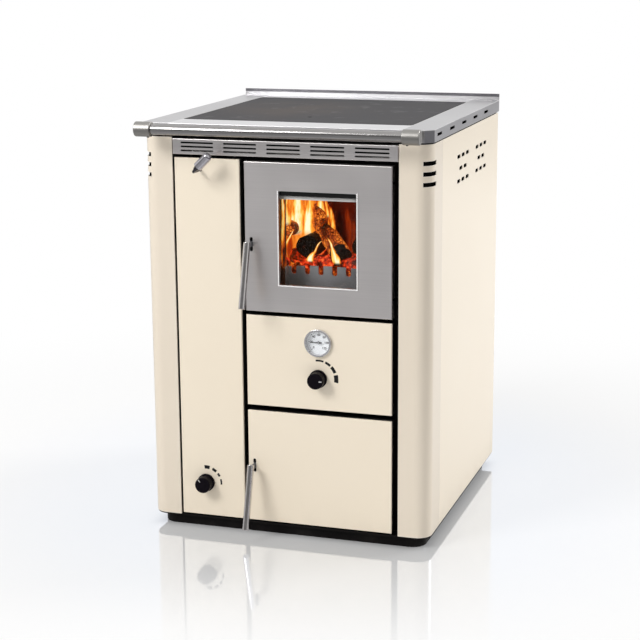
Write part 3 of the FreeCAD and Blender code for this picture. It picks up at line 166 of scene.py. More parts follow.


# Casing sheets
# Pillars, side panels and front panels of folded 1.5 mm sheet in gloss cream enamel. The enamel
# has a faint orange peel and drifts a little in colour; the paler line on the folds is a painted
# highlight. The folds behind the front are coloured near black, painted shade that makes the joints dark.
front_skin_y, skin_depth = -0.3022, 0.0014


def enamel(name, deep, pale, shaded_return_reach=None):
    """Gloss enamel that drifts between two shades, with a painted highlight on folds and a little grimy
    near the floor; the last argument is how far from the middle the folds behind the front are coloured
    near black, as painted shade."""
    made, start = new_finish(name)
    cream = tint(cloud(start, 3.2, detail=2.0), deep, pale)
    low_down = between(0.075 - along(start, "Z"), 0.0, 0.05)
    grime = low_down * between(cloud(start, 26.0, detail=5.0), 0.4, 0.75)
    cream = tint(grime * 0.10, cream, (0.42, 0.34, 0.25, 1))
    # A paler line along the folds: a painted highlight.
    cream = tint(edge_highlight(start, 0.0022) * 0.7, cream, (0.97, 0.93, 0.85, 1))
    # The folds behind the front, seen in the joints, are coloured near black: painted shade.
    if shaded_return_reach:
        behind = between(along(start, "Y"), front_skin_y, front_skin_y + skin_depth)
        inward = between(shaded_return_reach - abs(along(start, "X")), 0.0, 0.001)
        cream = tint(behind * inward, cream, (0.016, 0.015, 0.014, 1))
    shade(start, {"Base Color": cream,
                  "Roughness": 0.27 + 0.05 * cloud(start, 12.0),
                  "Coat Weight": 0.2, "Coat Roughness": 0.12,
                  "Normal": bump(cloud(start, 260.0, detail=2.0), 0.000006)})
    return made


deep_cream, pale_cream = (0.862, 0.758, 0.606, 1), (0.886, 0.790, 0.644, 1)
shaded_fold_reach = 0.2385
cream_enamel = enamel("cream_enamel", deep_cream, pale_cream)
front_enamel = enamel("front_enamel", deep_cream, pale_cream, shaded_fold_reach)
# The pillars get a darker, greyer copy of the same cream enamel: painted shade.
shaded_pillar_enamel = enamel("shaded_pillar_enamel", (0.775, 0.683, 0.560, 1), (0.805, 0.715, 0.592, 1), shaded_fold_reach)
coat(shaded_pillar_enamel, "left_corner_pillar", "right_corner_pillar")
coat(cream_enamel, "left_side_panel", "right_side_panel")
coat(front_enamel, "tall_front_panel", "middle_front_panel", "ash_door_panel")


# Back panel
# A plain zinc-coated sheet with spangle in the coating, cut out for the flue and the water
# sockets and held by pan-head screws along its two upright edges.
def galvanised(name, colour, dark, rough):
    """Zinc coating: large flat crystals of slightly different grey, dulled in blotches."""
    made, start = new_finish(name)
    spot = start.node("ShaderNodeTexCoord", out="Object")
    spangle = start.node("ShaderNodeTexVoronoi", None, {"Vector": spot, "Scale": 130.0}, out="Color")
    grain = start.node("ShaderNodeSeparateColor", None, {0: spangle})
    blotch = between(cloud(start, 11.0, detail=5.0), 0.45, 0.75)
    shade(start, {"Base Color": tint(0.35 * grain + 0.5 * blotch, colour, dark), "Metallic": 1.0,
                  "Roughness": rough + 0.16 * grain + 0.12 * blotch,
                  "Normal": bump(cloud(start, 700.0, detail=2.0), 0.00002)})
    return made


zinc_steel = galvanised("zinc_steel", (0.56, 0.57, 0.59, 1), (0.40, 0.41, 0.43, 1), 0.30)
coat(zinc_steel, "back_panel", "panel_spacers")


def fresh(bm, before):
    """The vertices added to a mesh since a count was taken."""
    bm.verts.ensure_lookup_table()
    return bm.verts[before:]


def screw_head(bm, spot, way, radius):
    """A pan-head screw with a round socket, turned from its profile and set on a face."""
    before = len(bm.verts)
    profile = ((1.0, 0.0), (1.0, 0.35), (0.8, 0.62), (0.42, 0.72), (0.36, 0.3), (0.0, 0.3))
    points = [bm.verts.new((radius * r, 0, radius * h)) for r, h in profile]
    lines = [bm.edges.new(pair) for pair in zip(points, points[1:])]
    bmesh.ops.spin(bm, geom=points + lines, cent=(0, 0, 0), axis=(0, 0, 1), angle=math.tau, steps=16,
                   use_merge=True)
    turn = Vector((0, 0, 1)).rotation_difference(Vector(way)).to_matrix().to_4x4()
    bmesh.ops.transform(bm, matrix=Matrix.Translation(spot) @ turn, verts=fresh(bm, before))


def piece(name, bm, finish, body):
    """Makes an object of a mesh, sharp where its faces turn a corner, and hangs it on a body."""
    bmesh.ops.remove_doubles(bm, verts=bm.verts, dist=1e-6)
    bmesh.ops.recalc_face_normals(bm, faces=bm.faces)
    for face in bm.faces:
        face.smooth = True
    for line in bm.edges:
        line.smooth = line.calc_face_angle(math.pi) < math.radians(38)
    mesh = bpy.data.meshes.new(name)
    bm.to_mesh(mesh)
    bm.free()
    mesh.materials.append(finish)
    made = bpy.data.objects.new(name, mesh)
    bpy.context.scene.collection.objects.link(made)
    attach(made, body)
    return made


low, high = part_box("back_panel")
screw_inset, screw_radius = 0.012, 0.0038
bm = bmesh.new()
for x in (low.x + screw_inset, high.x - screw_inset):
    for share in (0.04, 0.27, 0.5, 0.73, 0.96):
        screw_head(bm, (x, high.y, low.z + share * (high.z - low.z)), (0, 1, 0), screw_radius)
piece("back_screws", bm, zinc_steel, "stove")


# Slot shade strips
# Thin near-black strips, rolled to the corner behind each pillar's three slots and flat behind the
# side panels' vents: painted shade, so that no light from inside the casing shows through.
slot_shade_black, start = new_finish("slot_shade_black")
shade(start, {"Base Color": tint(cloud(start, 90.0), (0.002, 0.002, 0.002, 1), (0.005, 0.005, 0.005, 1)),
              "Roughness": 0.85 + 0.1 * cloud(start, 40.0), "Specular IOR Level": 0.0})
low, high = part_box("right_corner_pillar")
corner_radius, shade_strip_radius, shade_strip_sheet = 0.030, 0.0265, 0.0008
shade_strip_foot, shade_strip_head = high.z - 0.098, high.z - 0.022
bm = bmesh.new()
for side_way in (-1, 1):
    before = len(bm.verts)
    points = [bm.verts.new((side_way * shade_strip_radius, 0, z)) for z in (shade_strip_foot, shade_strip_head)]
    bmesh.ops.spin(bm, geom=points + [bm.edges.new(points)], cent=(0, 0, 0), axis=(0, 0, -side_way),
                   angle=math.radians(90), steps=16)
    corner = (side_way * (high.x - corner_radius), low.y + corner_radius, 0)
    bmesh.ops.translate(bm, vec=corner, verts=fresh(bm, before))
bmesh.ops.remove_doubles(bm, verts=bm.verts, dist=1e-6)
bmesh.ops.recalc_face_normals(bm, faces=bm.faces)
bmesh.ops.solidify(bm, geom=bm.faces[:], thickness=shade_strip_sheet)
piece("corner_slot_shade", bm, slot_shade_black, "stove")


def block(bm, size, middle):
    """A flat plate or bar of a given size round its middle."""
    before = len(bm.verts)
    bmesh.ops.create_cube(bm, size=1.0)
    bmesh.ops.scale(bm, vec=size, verts=fresh(bm, before))
    bmesh.ops.translate(bm, vec=middle, verts=fresh(bm, before))


def soften(bm, edges, offset):
    """Rounds sharp edges a little, as a file or a tumbler leaves them."""
    bmesh.ops.bevel(bm, geom=edges, offset=offset, segments=2, profile=0.5, affect="EDGES", material=-1)


# Flat near-black strips of painted shade behind the side panels' vents.
low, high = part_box("right_side_panel")
shade_strip_x, shade_strip_y, shade_strip_z = high.x - 0.0045, 0.048, high.z - 0.0763
bm = bmesh.new()
for side_way in (-1, 1):
    block(bm, (shade_strip_sheet, 0.300, 0.085), (side_way * shade_strip_x, shade_strip_y, shade_strip_z))
soften(bm, bm.edges, 0.0002)
piece("vent_slot_shade", bm, slot_shade_black, "stove")


# Welded body
# Shell, water jacket, grate plate and flue collar of boiler plate, left in its mill scale with
# specks of rust. The front plate is black, and small latch and hinge pieces are zinc-coated.
raw_steel, start = new_finish("raw_steel")
scale_marks = cloud(start, 22.0, detail=6.0, rough=0.65)
rust = between(cloud(start, 48.0, detail=6.0), 0.60, 0.74)
plate = tint(scale_marks, (0.030, 0.031, 0.034, 1), (0.085, 0.082, 0.080, 1))
shade(start, {"Base Color": tint(rust * 0.5, plate, (0.13, 0.055, 0.025, 1)),
              "Metallic": 0.55 - 0.5 * rust, "Roughness": 0.52 + 0.25 * scale_marks,
              "Normal": bump(scale_marks, 0.00025)})
coat(raw_steel, "body_shell", "water_jacket", "flue_collar", "water_sockets", "grate_plate", "hob_bearer",
     "damper_flap", "ash_pan", "fire_door_frame", "ash_door_liner")
coat(black_enamel, "front_plate", "hinge_brackets", "latch_keepers")
coat(zinc_steel, "fire_door_glass_clips", "fire_door_hinge_ears", "ash_door_hinge_ears",
     "fire_latch_bracket", "ash_latch_bracket", "fire_latch_pin", "ash_latch_pin", "air_valve",
     "thermostat_spindle")
lever_zinc = galvanised("lever_zinc", (0.30, 0.30, 0.31, 1), (0.18, 0.18, 0.19, 1), 0.64)
coat(lever_zinc, "fire_latch_lever", "ash_latch_lever")


# Firebox furniture
# A sand-cast iron grate, six firebricks pressed from buff clay and blackened by smoke, and a
# comb-edged steel guard that keeps logs off the glass, with a folded cheek at each end.
cast_iron, start = new_finish("cast_iron")
skin = cloud(start, 260.0, detail=5.0, rough=0.7)
shade(start, {"Base Color": tint(skin, (0.018, 0.018, 0.019, 1), (0.06, 0.056, 0.052, 1)), "Metallic": 0.4,
              "Roughness": 0.55 + 0.25 * skin, "Normal": bump(skin, 0.0005)})
coat(cast_iron, "grate")

firebrick, start = new_finish("firebrick")
grit = cloud(start, 210.0, detail=6.0, rough=0.7)
smoke = between(cloud(start, 9.0, detail=5.0) + 2.2 * (along(start, "Z") - 0.38), 0.35, 0.75)
clay = tint(grit, (0.42, 0.30, 0.17, 1), (0.62, 0.50, 0.33, 1))
shade(start, {"Base Color": tint(smoke * 0.92, clay, (0.018, 0.014, 0.012, 1)), "Roughness": 0.85,
              "Normal": bump(grit, 0.0006)})
coat(firebrick, "firebricks")

guard_steel, start = new_finish("guard_steel")
heat = cloud(start, 24.0, detail=4.0)
# The guard is coloured darker towards the right.
darkening = between(along(start, "X") + 0.05 * heat, 0.02, 0.17)
bare = tint(heat, (0.42, 0.42, 0.43, 1), (0.54, 0.54, 0.56, 1))
shade(start, {"Base Color": tint(darkening * 0.8, bare, (0.20, 0.20, 0.215, 1)), "Metallic": 0.2,
              "Roughness": 0.42 + 0.2 * cloud(start, 90.0), "Normal": bump(cloud(start, 500.0), 0.00004)})
coat(guard_steel, "log_guard")

low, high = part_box("log_guard")
cheek_inset, cheek_sheet, cheek_depth = 0.0009, 0.0012, 0.0215
cheek_y, cheek_z = low.y - 0.0105, (low.z + high.z) / 2
bm = bmesh.new()
for cheek_x in (low.x + cheek_inset, high.x - cheek_inset):
    block(bm, (cheek_sheet, cheek_depth, high.z - low.z - 0.001), (cheek_x, cheek_y, cheek_z))
soften(bm, bm.edges, 0.0004)
piece("guard_cheeks", bm, guard_steel, "stove")


# Fire
# A bed of glowing charcoal on the grate, rough rounds of wood lying front to back with one
# leaning across them, and flames that rise between and over them. The wood is charred black
# and glows in patches.
def heat_colour(heat, *stops):
    """The colours that something burning runs through as its heat rises."""
    return heat.node("ShaderNodeValToRGB", {"stops": stops}, {"Fac": heat})


ember_glow, start = new_finish("ember_glow")
lumps = cloud(start, 75.0, detail=4.0, rough=0.6)
hot = between(lumps, 0.40, 0.66)
glow = heat_colour(hot, (0.0, (0.05, 0.002, 0.0, 1)), (0.4, (0.40, 0.016, 0.0, 1)),
                   (0.8, (0.90, 0.04, 0.008, 1)), (1.0, (1.0, 0.17, 0.03, 1)))
shade(start, {"Base Color": tint(hot, (0.02, 0.016, 0.014, 1), (0.10, 0.03, 0.012, 1)), "Roughness": 0.9,
              "Emission Color": glow, "Emission Strength": 1.0, "Normal": bump(lumps, 0.004)})


def close_below(bm, level):
    """Drops a skirt from the rim of a heap to a level and closes it underneath."""
    rim = [line for line in bm.edges if line.is_boundary]
    skirt = bmesh.ops.extrude_edge_only(bm, edges=rim)["geom"]
    for v in skirt:
        if isinstance(v, bmesh.types.BMVert):
            v.co.z = level
    bmesh.ops.contextual_create(bm, geom=[line for line in skirt if isinstance(line, bmesh.types.BMEdge)
                                          and line.is_boundary])


bm = bmesh.new()
bmesh.ops.create_grid(bm, x_segments=46, y_segments=84, size=1.0)
bed_low, bed_high = Vector((-0.022, -0.196, 0.299)), Vector((0.163, 0.176, 0.492))
for v in bm.verts:
    v.co.x = bed_low.x + (v.co.x + 1) / 2 * (bed_high.x - bed_low.x)
    v.co.y = bed_low.y + (v.co.y + 1) / 2 * (bed_high.y - bed_low.y)
    near = noise.voronoi(Vector((v.co.x, v.co.y, 0.3)) * 42)[0]
    v.co.z = bed_high.z + 0.022 * (0.55 - near[0]) + 0.012 * noise.noise(v.co * 14)
close_below(bm, bed_low.z)
piece("ember_bed", bm, ember_glow, "stove")


def burning_wood(name, char_low, char_high, hot_low, hot_high):
    """Wood on fire: ridges along Y, black char over brown, fine checks, and a glow that
    cools in patches."""
    made, start = new_finish(name)
    bark = cloud(start, 70.0, stretch=(1.0, 0.22, 1.0), detail=5.0, rough=0.6)
    spot = start.node("ShaderNodeTexCoord", out="Object")
    spot = start.node("ShaderNodeMapping", None, {"Vector": spot, "Scale": (1, 0.7, 1)})
    checks = start.node("ShaderNodeTexVoronoi", {"feature": "DISTANCE_TO_EDGE"},
                        {"Vector": spot, "Scale": 150.0})
    crack = 1.0 - between(checks, 0.0, 0.16)
    char = between(cloud(start, 16.0, detail=4.0), char_low, char_high)
    hot = between(cloud(start, 34.0, detail=5.0, rough=0.65), hot_low, hot_high) * (1.0 - 0.75 * crack)
    wood = tint(bark, (0.12, 0.045, 0.018, 1), (0.36, 0.15, 0.055, 1))
    glow = heat_colour(hot, (0.0, (0, 0, 0, 1)), (0.3, (0.09, 0.006, 0.0, 1)),
                       (0.6, (0.42, 0.05, 0.003, 1)), (1.0, (0.95, 0.27, 0.03, 1)))
    burnt = start.maths("MAXIMUM", char, 0.85 * crack)
    shade(start, {"Base Color": tint(burnt, wood, (0.012, 0.010, 0.010, 1)), "Roughness": 0.85,
                  "Emission Color": glow, "Emission Strength": 1.1,
                  "Normal": bump(bark - 0.5 * crack, 0.004)})
    return made


def log(bm, front, rear, radius, seed):
    """A rough round of wood between two points, with swollen and shrunken rings and bevelled ends."""
    before = len(bm.verts)
    reach = Vector(rear) - Vector(front)
    grain = 0.77 / radius
    made = bmesh.ops.create_cone(bm, cap_ends=True, segments=26, radius1=radius, radius2=radius * 0.94,
                                 depth=reach.length)
    long_edges = [line for line in bm.edges if line.verts[0] in made["verts"]
                  and abs(line.verts[0].co.z - line.verts[1].co.z) > reach.length / 2]
    bmesh.ops.subdivide_edges(bm, edges=long_edges, cuts=18)
    own = set(fresh(bm, before))
    ends = [face for face in bm.faces if len(face.verts) > 20 and face.verts[0] in own]
    bmesh.ops.inset_individual(bm, faces=ends, thickness=radius * 0.16, depth=radius * 0.08)
    for v in fresh(bm, before):
        around = Vector((v.co.x, v.co.y, v.co.z * 0.25)) * grain + Vector((seed, 0, seed))
        swell = 1 + 0.13 * noise.noise(around) + 0.06 * noise.noise(around * 2.7)
        v.co.x *= swell
        v.co.y *= swell
        v.co.z += 0.10 * radius * noise.noise(around * 1.9)
    turn = reach.normalized().to_track_quat("Z", "Y").to_matrix().to_4x4()
    middle = (Vector(front) + Vector(rear)) / 2
    bmesh.ops.transform(bm, matrix=Matrix.Translation(middle) @ turn, verts=fresh(bm, before))


black_char = burning_wood("black_char", 0.18, 0.42, 0.60, 0.85)
red_char = burning_wood("red_char", 0.34, 0.74, 0.30, 0.66)
bm = bmesh.new()
log(bm, (-0.006, -0.198, 0.524), (-0.003, 0.150, 0.522), 0.034, 1.0)
log(bm, (0.072, -0.196, 0.524), (0.076, 0.155, 0.520), 0.034, 2.0)
log(bm, (0.139, -0.190, 0.520), (0.136, 0.150, 0.518), 0.025, 3.0)
log(bm, (-0.034, -0.192, 0.626), (-0.030, 0.060, 0.604), 0.016, 4.0)
log(bm, (0.087, -0.203, 0.577), (-0.006, -0.094, 0.651), 0.020, 7.0)
piece("lower_logs", bm, red_char, "stove")
bm = bmesh.new()
log(bm, (0.014, -0.204, 0.593), (0.004, 0.100, 0.572), 0.0235, 5.0)
log(bm, (0.0895, -0.2065, 0.575), (0.0790, -0.1935, 0.584), 0.0214, 7.0)
log(bm, (0.110, -0.120, 0.580), (0.112, 0.110, 0.582), 0.024, 6.0)
piece("upper_logs", bm, black_char, "stove")

coal_count = 52
coals_left, coals_front, coals_level = -0.028, -0.214, 0.562
coals_width, coals_depth = 0.186, 0.09
bm = bmesh.new()
for number in range(coal_count):
    across, back = number * 0.6180 % 1, number * 0.7549 % 1
    before = len(bm.verts)
    bmesh.ops.create_icosphere(bm, subdivisions=2, radius=0.010 + 0.006 * (number * 0.437 % 1))
    for v in fresh(bm, before):
        v.co *= 1 + 0.32 * noise.noise(v.co * 95 + Vector((number, 0, 0)))
    heap = coals_level + 0.010 * noise.noise(Vector((across * 5, back * 3, 0.4)))
    spot = (coals_left + coals_width * across, coals_front + coals_depth * back, heap)
    bmesh.ops.translate(bm, vec=spot, verts=fresh(bm, before))
piece("coals", bm, ember_glow, "stove")

far_flame, start = new_finish("far_flame")
streak = cloud(start, 46.0, stretch=(1.0, 1.0, 0.16), detail=5.0, rough=0.62)
hotter = 1.0 - between(along(start, "X"), -0.012, 0.046)
heat = 0.17 + 1.5 * (streak - 0.5) + 0.55 * hotter
far_glow = heat_colour(heat, (0.0, (0.010, 0.0, 0.0, 1)), (0.3, (0.085, 0.004, 0.0, 1)),
                       (0.52, (0.42, 0.035, 0.002, 1)), (0.76, (1.0, 0.26, 0.02, 1)),
                       (1.0, (1.0, 0.66, 0.16, 1)))
shade(start, {"Base Color": (0, 0, 0, 1), "Roughness": 1.0, "Specular IOR Level": 0.0,
              "Emission Color": far_glow, "Emission Strength": 1.1})
bm = bmesh.new()
bmesh.ops.create_grid(bm, x_segments=48, y_segments=24, size=0.5)
for v in bm.verts:
    share, rise = v.co.x + 0.5, v.co.y + 0.5
    v.co = (-0.046 + 0.206 * share ** 1.6, -0.215 + 0.14 * (1 - (1 - share) ** 3), 0.500 + 0.220 * rise)
    v.co.y += 0.007 * noise.noise(v.co * 26)
piece("far_flames", bm, far_flame, "stove")

flame_light, start = new_finish("flame_light")
uv = start.node("ShaderNodeTexCoord", out="UV")
side = abs(2.0 * start.node("ShaderNodeSeparateXYZ", None, {0: uv}, out="X") - 1.0)
rise = start.node("ShaderNodeSeparateXYZ", None, {0: uv}, out="Y")
lick = cloud(start, 84.0, stretch=(1.0, 1.0, 0.18), detail=4.0, rough=0.6)
cooler = between(along(start, "X"), -0.005, 0.045) * between(along(start, "Y"), -0.20, -0.17)
foremost = 1.0 - between(along(start, "Y"), -0.245, -0.235)
red_foot = foremost * (1.0 - between(along(start, "Z"), 0.600, 0.655))
heat = 1.20 - 0.92 * side - 0.50 * rise + 2.3 * (lick - 0.5) - 0.55 * cooler - 0.62 * red_foot
flame = heat_colour(heat, (0.0, (0.30, 0.012, 0.0, 1)), (0.22, (0.85, 0.08, 0.004, 1)),
                    (0.45, (1.0, 0.30, 0.02, 1)), (0.72, (1.0, 0.66, 0.14, 1)),
                    (1.0, (1.0, 0.92, 0.62, 1)))
shade(start, {"Base Color": (0, 0, 0, 1), "Roughness": 1.0, "Specular IOR Level": 0.0,
              "Emission Color": flame, "Emission Strength": 1.2,
              "Alpha": between(heat, 0.02, 0.55) * between(rise, 0.0, 0.12)})


def tongue(bm, foot, height, width, sway, seed):
    """One tongue of flame: a bowed sheet, broad at the foot and drawn out to a point."""
    before = len(bm.verts)
    bmesh.ops.create_grid(bm, x_segments=8, y_segments=22, size=0.5, calc_uvs=True)
    for v in fresh(bm, before):
        share, across = v.co.y + 0.5, 2 * v.co.x
        wave = noise.noise(Vector((seed * 3.1, share * 2.6, seed)))
        belly = 0.55 + 0.45 * math.sin(math.pi * min(1.0, share * 1.35 + 0.2))
        half = width / 2 * belly * (1 - share) ** 0.45
        v.co = (foot[0] + across * half + sway * share ** 1.6 + 0.22 * width * share * wave,
                foot[1] - 0.45 * half * (1 - across * across) + 0.2 * width * share * wave,
                foot[2] + height * share)


bm = bmesh.new()
bm.loops.layers.uv.new("flame_sheet")
for number, (foot, height, width, sway) in enumerate((
        ((-0.026, -0.150, 0.605), 0.150, 0.052, 0.004), ((0.002, -0.150, 0.604), 0.150, 0.038, 0.004),
        ((0.058, -0.150, 0.612), 0.110, 0.036, -0.032), ((-0.034, -0.195, 0.632), 0.095, 0.026, 0.006),
        ((0.026, -0.218, 0.564), 0.046, 0.020, 0.026), ((0.084, -0.218, 0.562), 0.056, 0.022, -0.022),
        ((-0.036, -0.208, 0.572), 0.056, 0.018, 0.024), ((-0.020, -0.250, 0.552), 0.175, 0.036, 0.0),
        ((-0.030, -0.110, 0.596), 0.150, 0.084, 0.006), ((0.018, -0.105, 0.600), 0.140, 0.044, -0.010),
        ((0.044, -0.150, 0.645), 0.080, 0.020, -0.018))):
    tongue(bm, foot, height, width, sway, number + 0.5)
piece("flames", bm, flame_light, "stove")


# Front strip and hob
# The vent strip, hob surround and upstand are satin stainless sheet, brushed along their length.
# The upstand has painted shade along its top edge and a paler face than the surround, a painted
# highlight; the surround's side bars are coloured darker than its front bar, painted shade; near-black
# strips of painted shade stand behind the slots of its skirt, and the cooking plate is ground steel
# that has browned in its hottest part.
def brushed(name, pale, deep, side_bars=None, rim=None):
    """Stainless with fine brush lines along X, and along Y on side bars beyond a distance, where it is
    also coloured darker as painted shade; above the height of a rim it is coloured darker, a painted shade
    along the top edge."""
    made, start = new_finish(name)
    lines = cloud(start, 1.0, stretch=(5.0, 900.0, 900.0), detail=3.0)
    soft = between(cloud(start, 5.0, detail=2.0), 0.3, 0.7)
    edge = edge_highlight(start, 0.0024)
    steel = tint(0.6 * lines + 0.4 * soft, deep, pale)
    if side_bars:
        turned = cloud(start, 1.0, stretch=(900.0, 5.0, 900.0), detail=3.0)
        aside = between(abs(along(start, "X")), side_bars, side_bars + 0.001)
        lines = lines + aside * (turned - lines)
        # The side bars' darker colour is painted shade.
        steel = tint(aside, steel, tint(turned, (0.42, 0.415, 0.425, 1), (0.55, 0.542, 0.55, 1)))
    # A paler line along the edges: a painted highlight.
    steel = tint(edge * 0.6, steel, (0.86, 0.85, 0.84, 1))
    if rim:
        # A darker band along the top edge: painted shade.
        steel = tint(between(along(start, "Z"), rim - 0.001, rim), steel, (0.26, 0.255, 0.275, 1))
    shade(start, {"Base Color": steel, "Metallic": 1.0,
                  "Roughness": 0.25 + 0.16 * lines + 0.05 * soft,
                  "Normal": bump(lines, 0.00003)})
    return made


shaded_top_height, side_bar_x = 0.006, 0.2425
satin_steel = brushed("satin_steel", (0.87, 0.832, 0.812, 1), (0.73, 0.698, 0.682, 1))
hob_satin = brushed("hob_satin", (0.76, 0.752, 0.758, 1), (0.62, 0.612, 0.620, 1), side_bars=side_bar_x)
# The upstand's steel is paler than the surround's: a painted highlight.
upstand_satin = brushed("upstand_satin", (0.93, 0.92, 0.935, 1), (0.82, 0.81, 0.825, 1),
                        rim=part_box("rear_upstand")[1].z - shaded_top_height)
coat(satin_steel, "vent_strip")
coat(hob_satin, "hob_frame")
coat(upstand_satin, "rear_upstand")

# Near-black strips of painted shade behind the slots of the surround's skirt.
low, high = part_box("hob_frame")
strip_x, strip_y, strip_z = high.x - 0.0065, 0.03, low.z + 0.0125
bm = bmesh.new()
for side_way in (-1, 1):
    block(bm, (0.001, 0.44, 0.016), (side_way * strip_x, strip_y, strip_z))
soften(bm, bm.edges, 0.0003)
piece("skirt_slot_shade", bm, slot_shade_black, "stove")

hob_steel, start = new_finish("hob_steel")
ground = cloud(start, 1.0, stretch=(12.0, 520.0, 520.0), detail=4.0)
hottest_x, hottest_y = -0.09, 0.02
off_middle = abs(along(start, "X") - hottest_x) + 0.9 * abs(along(start, "Y") - hottest_y)
patch = 1.0 - between(off_middle, 0.03, 0.27)
brown = patch * between(cloud(start, 7.0, detail=4.0), 0.30, 0.62)
stains = between(cloud(start, 30.0, detail=5.0), 0.58, 0.72)
plate = tint(0.7 * ground + 0.3 * stains, (0.040, 0.038, 0.041, 1), (0.060, 0.057, 0.061, 1))
shade(start, {"Base Color": tint(brown * 0.55, plate, (0.090, 0.070, 0.058, 1)), "Metallic": 0.2,
              "Roughness": 0.52 + 0.14 * ground - 0.08 * stains, "Specular IOR Level": 0.10,
              "Normal": bump(ground, 0.00004)})
coat(hob_steel, "hob_plate")


# Rope seals
# Braided glass-fibre rope, grey with a little soot, laid on the bearer under the hob plate and
# glued round the back of both doors.
rope_seal, start = new_finish("rope_seal")
spot = start.node("ShaderNodeTexCoord", out="Object")
twist = start.node("ShaderNodeTexWave", {"bands_direction": "DIAGONAL"}, {"Vector": spot, "Scale": 160.0,
                                                                          "Distortion": 1.5})
fluff = cloud(start, 600.0, detail=4.0)
shade(start, {"Base Color": tint(twist * 0.6 + fluff * 0.4, (0.09, 0.088, 0.085, 1), (0.34, 0.33, 0.31, 1)),
              "Roughness": 0.95, "Normal": bump(twist + 0.4 * fluff, 0.0008)})
coat(rope_seal, "hob_seal", "fire_door_gasket", "ash_door_gasket")


# Towel rail
# A polished stainless tube in two satin turned sockets, each locked by a black grub screw from
# below.
def polished(name, deep, pale, rough):
    """Steel polished along X, with a faint haze and finger marks."""
    made, start = new_finish(name)
    haze = cloud(start, 1.0, stretch=(30.0, 420.0, 420.0), detail=3.0)
    prints = between(cloud(start, 38.0, detail=4.0), 0.55, 0.75)
    shade(start, {"Base Color": tint(haze, deep, pale), "Metallic": 1.0,
                  "Roughness": rough + 0.05 * haze + 0.06 * prints, "Normal": bump(haze, 0.000006)})
    return made


# The rail and sockets are coloured darker than the thermometer case's polished steel: painted shade.
shaded_rail_steel = polished("shaded_rail_steel", (0.29, 0.28, 0.275, 1), (0.39, 0.38, 0.375, 1), 0.15)
shaded_socket_steel = polished("shaded_socket_steel", (0.29, 0.28, 0.265, 1), (0.37, 0.36, 0.340, 1), 0.36)
coat(shaded_rail_steel, "towel_rail")
coat(shaded_socket_steel, "rail_sockets")

low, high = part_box("rail_sockets")
grub_x, grub_y, grub_z = high.x - 0.026, low.y + 0.015, (low.z + high.z) / 2 - 0.0148
bm = bmesh.new()
for side_way in (-1, 1):
    screw_head(bm, (side_way * grub_x, grub_y, grub_z), (0, 0, -1), 0.0026)
piece("socket_grub_screws", bm, black_enamel, "stove")


# Handles and damper lever
# Round steel rods, drawn bright and a little rough where they were sawn off: the two leaning door
# handles, and the damper's bent rod with its cylinder grip, which stands on a blackened foot.
def rod_steel(name, deep, pale, foot=None):
    """Drawn rod with finger marks, rougher sawn ends and, if its place is given, a blackened
    foot on a grip that leans at 45 degrees."""
    made, start = new_finish(name)
    haze = cloud(start, 1.0, stretch=(300.0, 300.0, 24.0), detail=3.0)
    prints = between(cloud(start, 44.0, detail=4.0), 0.55, 0.75)
    facing = start.node("ShaderNodeNewGeometry", out="Normal")
    sawn = between(start.node("ShaderNodeSeparateXYZ", None, {0: facing}, out="Z"), 0.60, 0.85)
    steel = tint(haze, deep, pale)
    if foot:
        lean = math.sin(math.radians(45))
        rise = lean * (along(start, "X") - foot[0]) + lean * (along(start, "Z") - foot[1])
        steel = tint(1.0 - between(rise, 0.0150, 0.0165), steel, (0.07, 0.066, 0.074, 1))
    shade(start, {"Base Color": tint(sawn * 0.8, steel, (0.16, 0.155, 0.155, 1)), "Metallic": 1.0,
                  "Roughness": 0.09 + 0.08 * haze + 0.06 * prints + 0.53 * sawn,
                  "Normal": bump(haze, 0.000015)})
    return made


handle_steel = rod_steel("handle_steel", (0.50, 0.475, 0.470, 1), (0.72, 0.692, 0.685, 1))
damper_steel = rod_steel("damper_steel", (0.42, 0.405, 0.44, 1), (0.74, 0.72, 0.76, 1),
                         foot=(-0.176, 0.758))
coat(handle_steel, "fire_door_handle", "ash_door_handle")
coat(damper_steel, "damper_grip", "damper_rod")


# Thermometer
# A white enamelled dial in a polished case, printed with ticks and plain numbers, behind flat
# glass; a black needle turns over it.
polished_steel = polished("polished_steel", (0.66, 0.65, 0.655, 1), (0.78, 0.77, 0.775, 1), 0.15)
coat(polished_steel, "thermometer_case")
dial_white, start = new_finish("dial_white")
shade(start, {"Base Color": tint(cloud(start, 160.0), (0.94, 0.96, 0.99, 1), (0.96, 0.98, 1.0, 1)),
              "Roughness": 0.5 + 0.1 * cloud(start, 300.0)})
coat(dial_white, "thermometer_dial")
needle_black, start = new_finish("needle_black")
shade(start, {"Base Color": tint(cloud(start, 400.0), (0.008, 0.008, 0.009, 1), (0.02, 0.02, 0.021, 1)),
              "Roughness": 0.45 + 0.15 * cloud(start, 500.0), "Specular IOR Level": 0.1})
coat(needle_black, "thermometer_needle")
gauge_glass, start = new_finish("gauge_glass")
shade(start, {"Base Color": (0.95, 0.97, 0.98, 1), "Roughness": 0.02 + 0.03 * cloud(start, 50.0),
              "Alpha": 0.04})
coat(gauge_glass, "thermometer_glass")

low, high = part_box("thermometer_glass")
dial_x, dial_z = (low.x + high.x) / 2, (low.z + high.z) / 2
dial_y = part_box("thermometer_dial")[1].y - 0.001
ink = 0.0002
dial_start, tick_turn, number_turn = -135, 11.25, 45
number_radius, number_height = 0.0158, 0.0064


def set_round(bm, before, angle, middle):
    """Turns what was added since a count clockwise from the top, and sets it round a middle."""
    bmesh.ops.rotate(bm, cent=(0, 0, 0), matrix=Matrix.Rotation(math.radians(angle), 3, "Y"),
                     verts=fresh(bm, before))
    bmesh.ops.translate(bm, vec=middle, verts=fresh(bm, before))


def dial_mark(bm, angle, near, far, width):
    """A printed tick between two radii, at an angle clockwise from the top of the dial."""
    before = len(bm.verts)
    block(bm, (width, ink, far - near), (0, 0, (near + far) / 2))
    set_round(bm, before, angle, (dial_x, dial_y - ink / 2, dial_z))


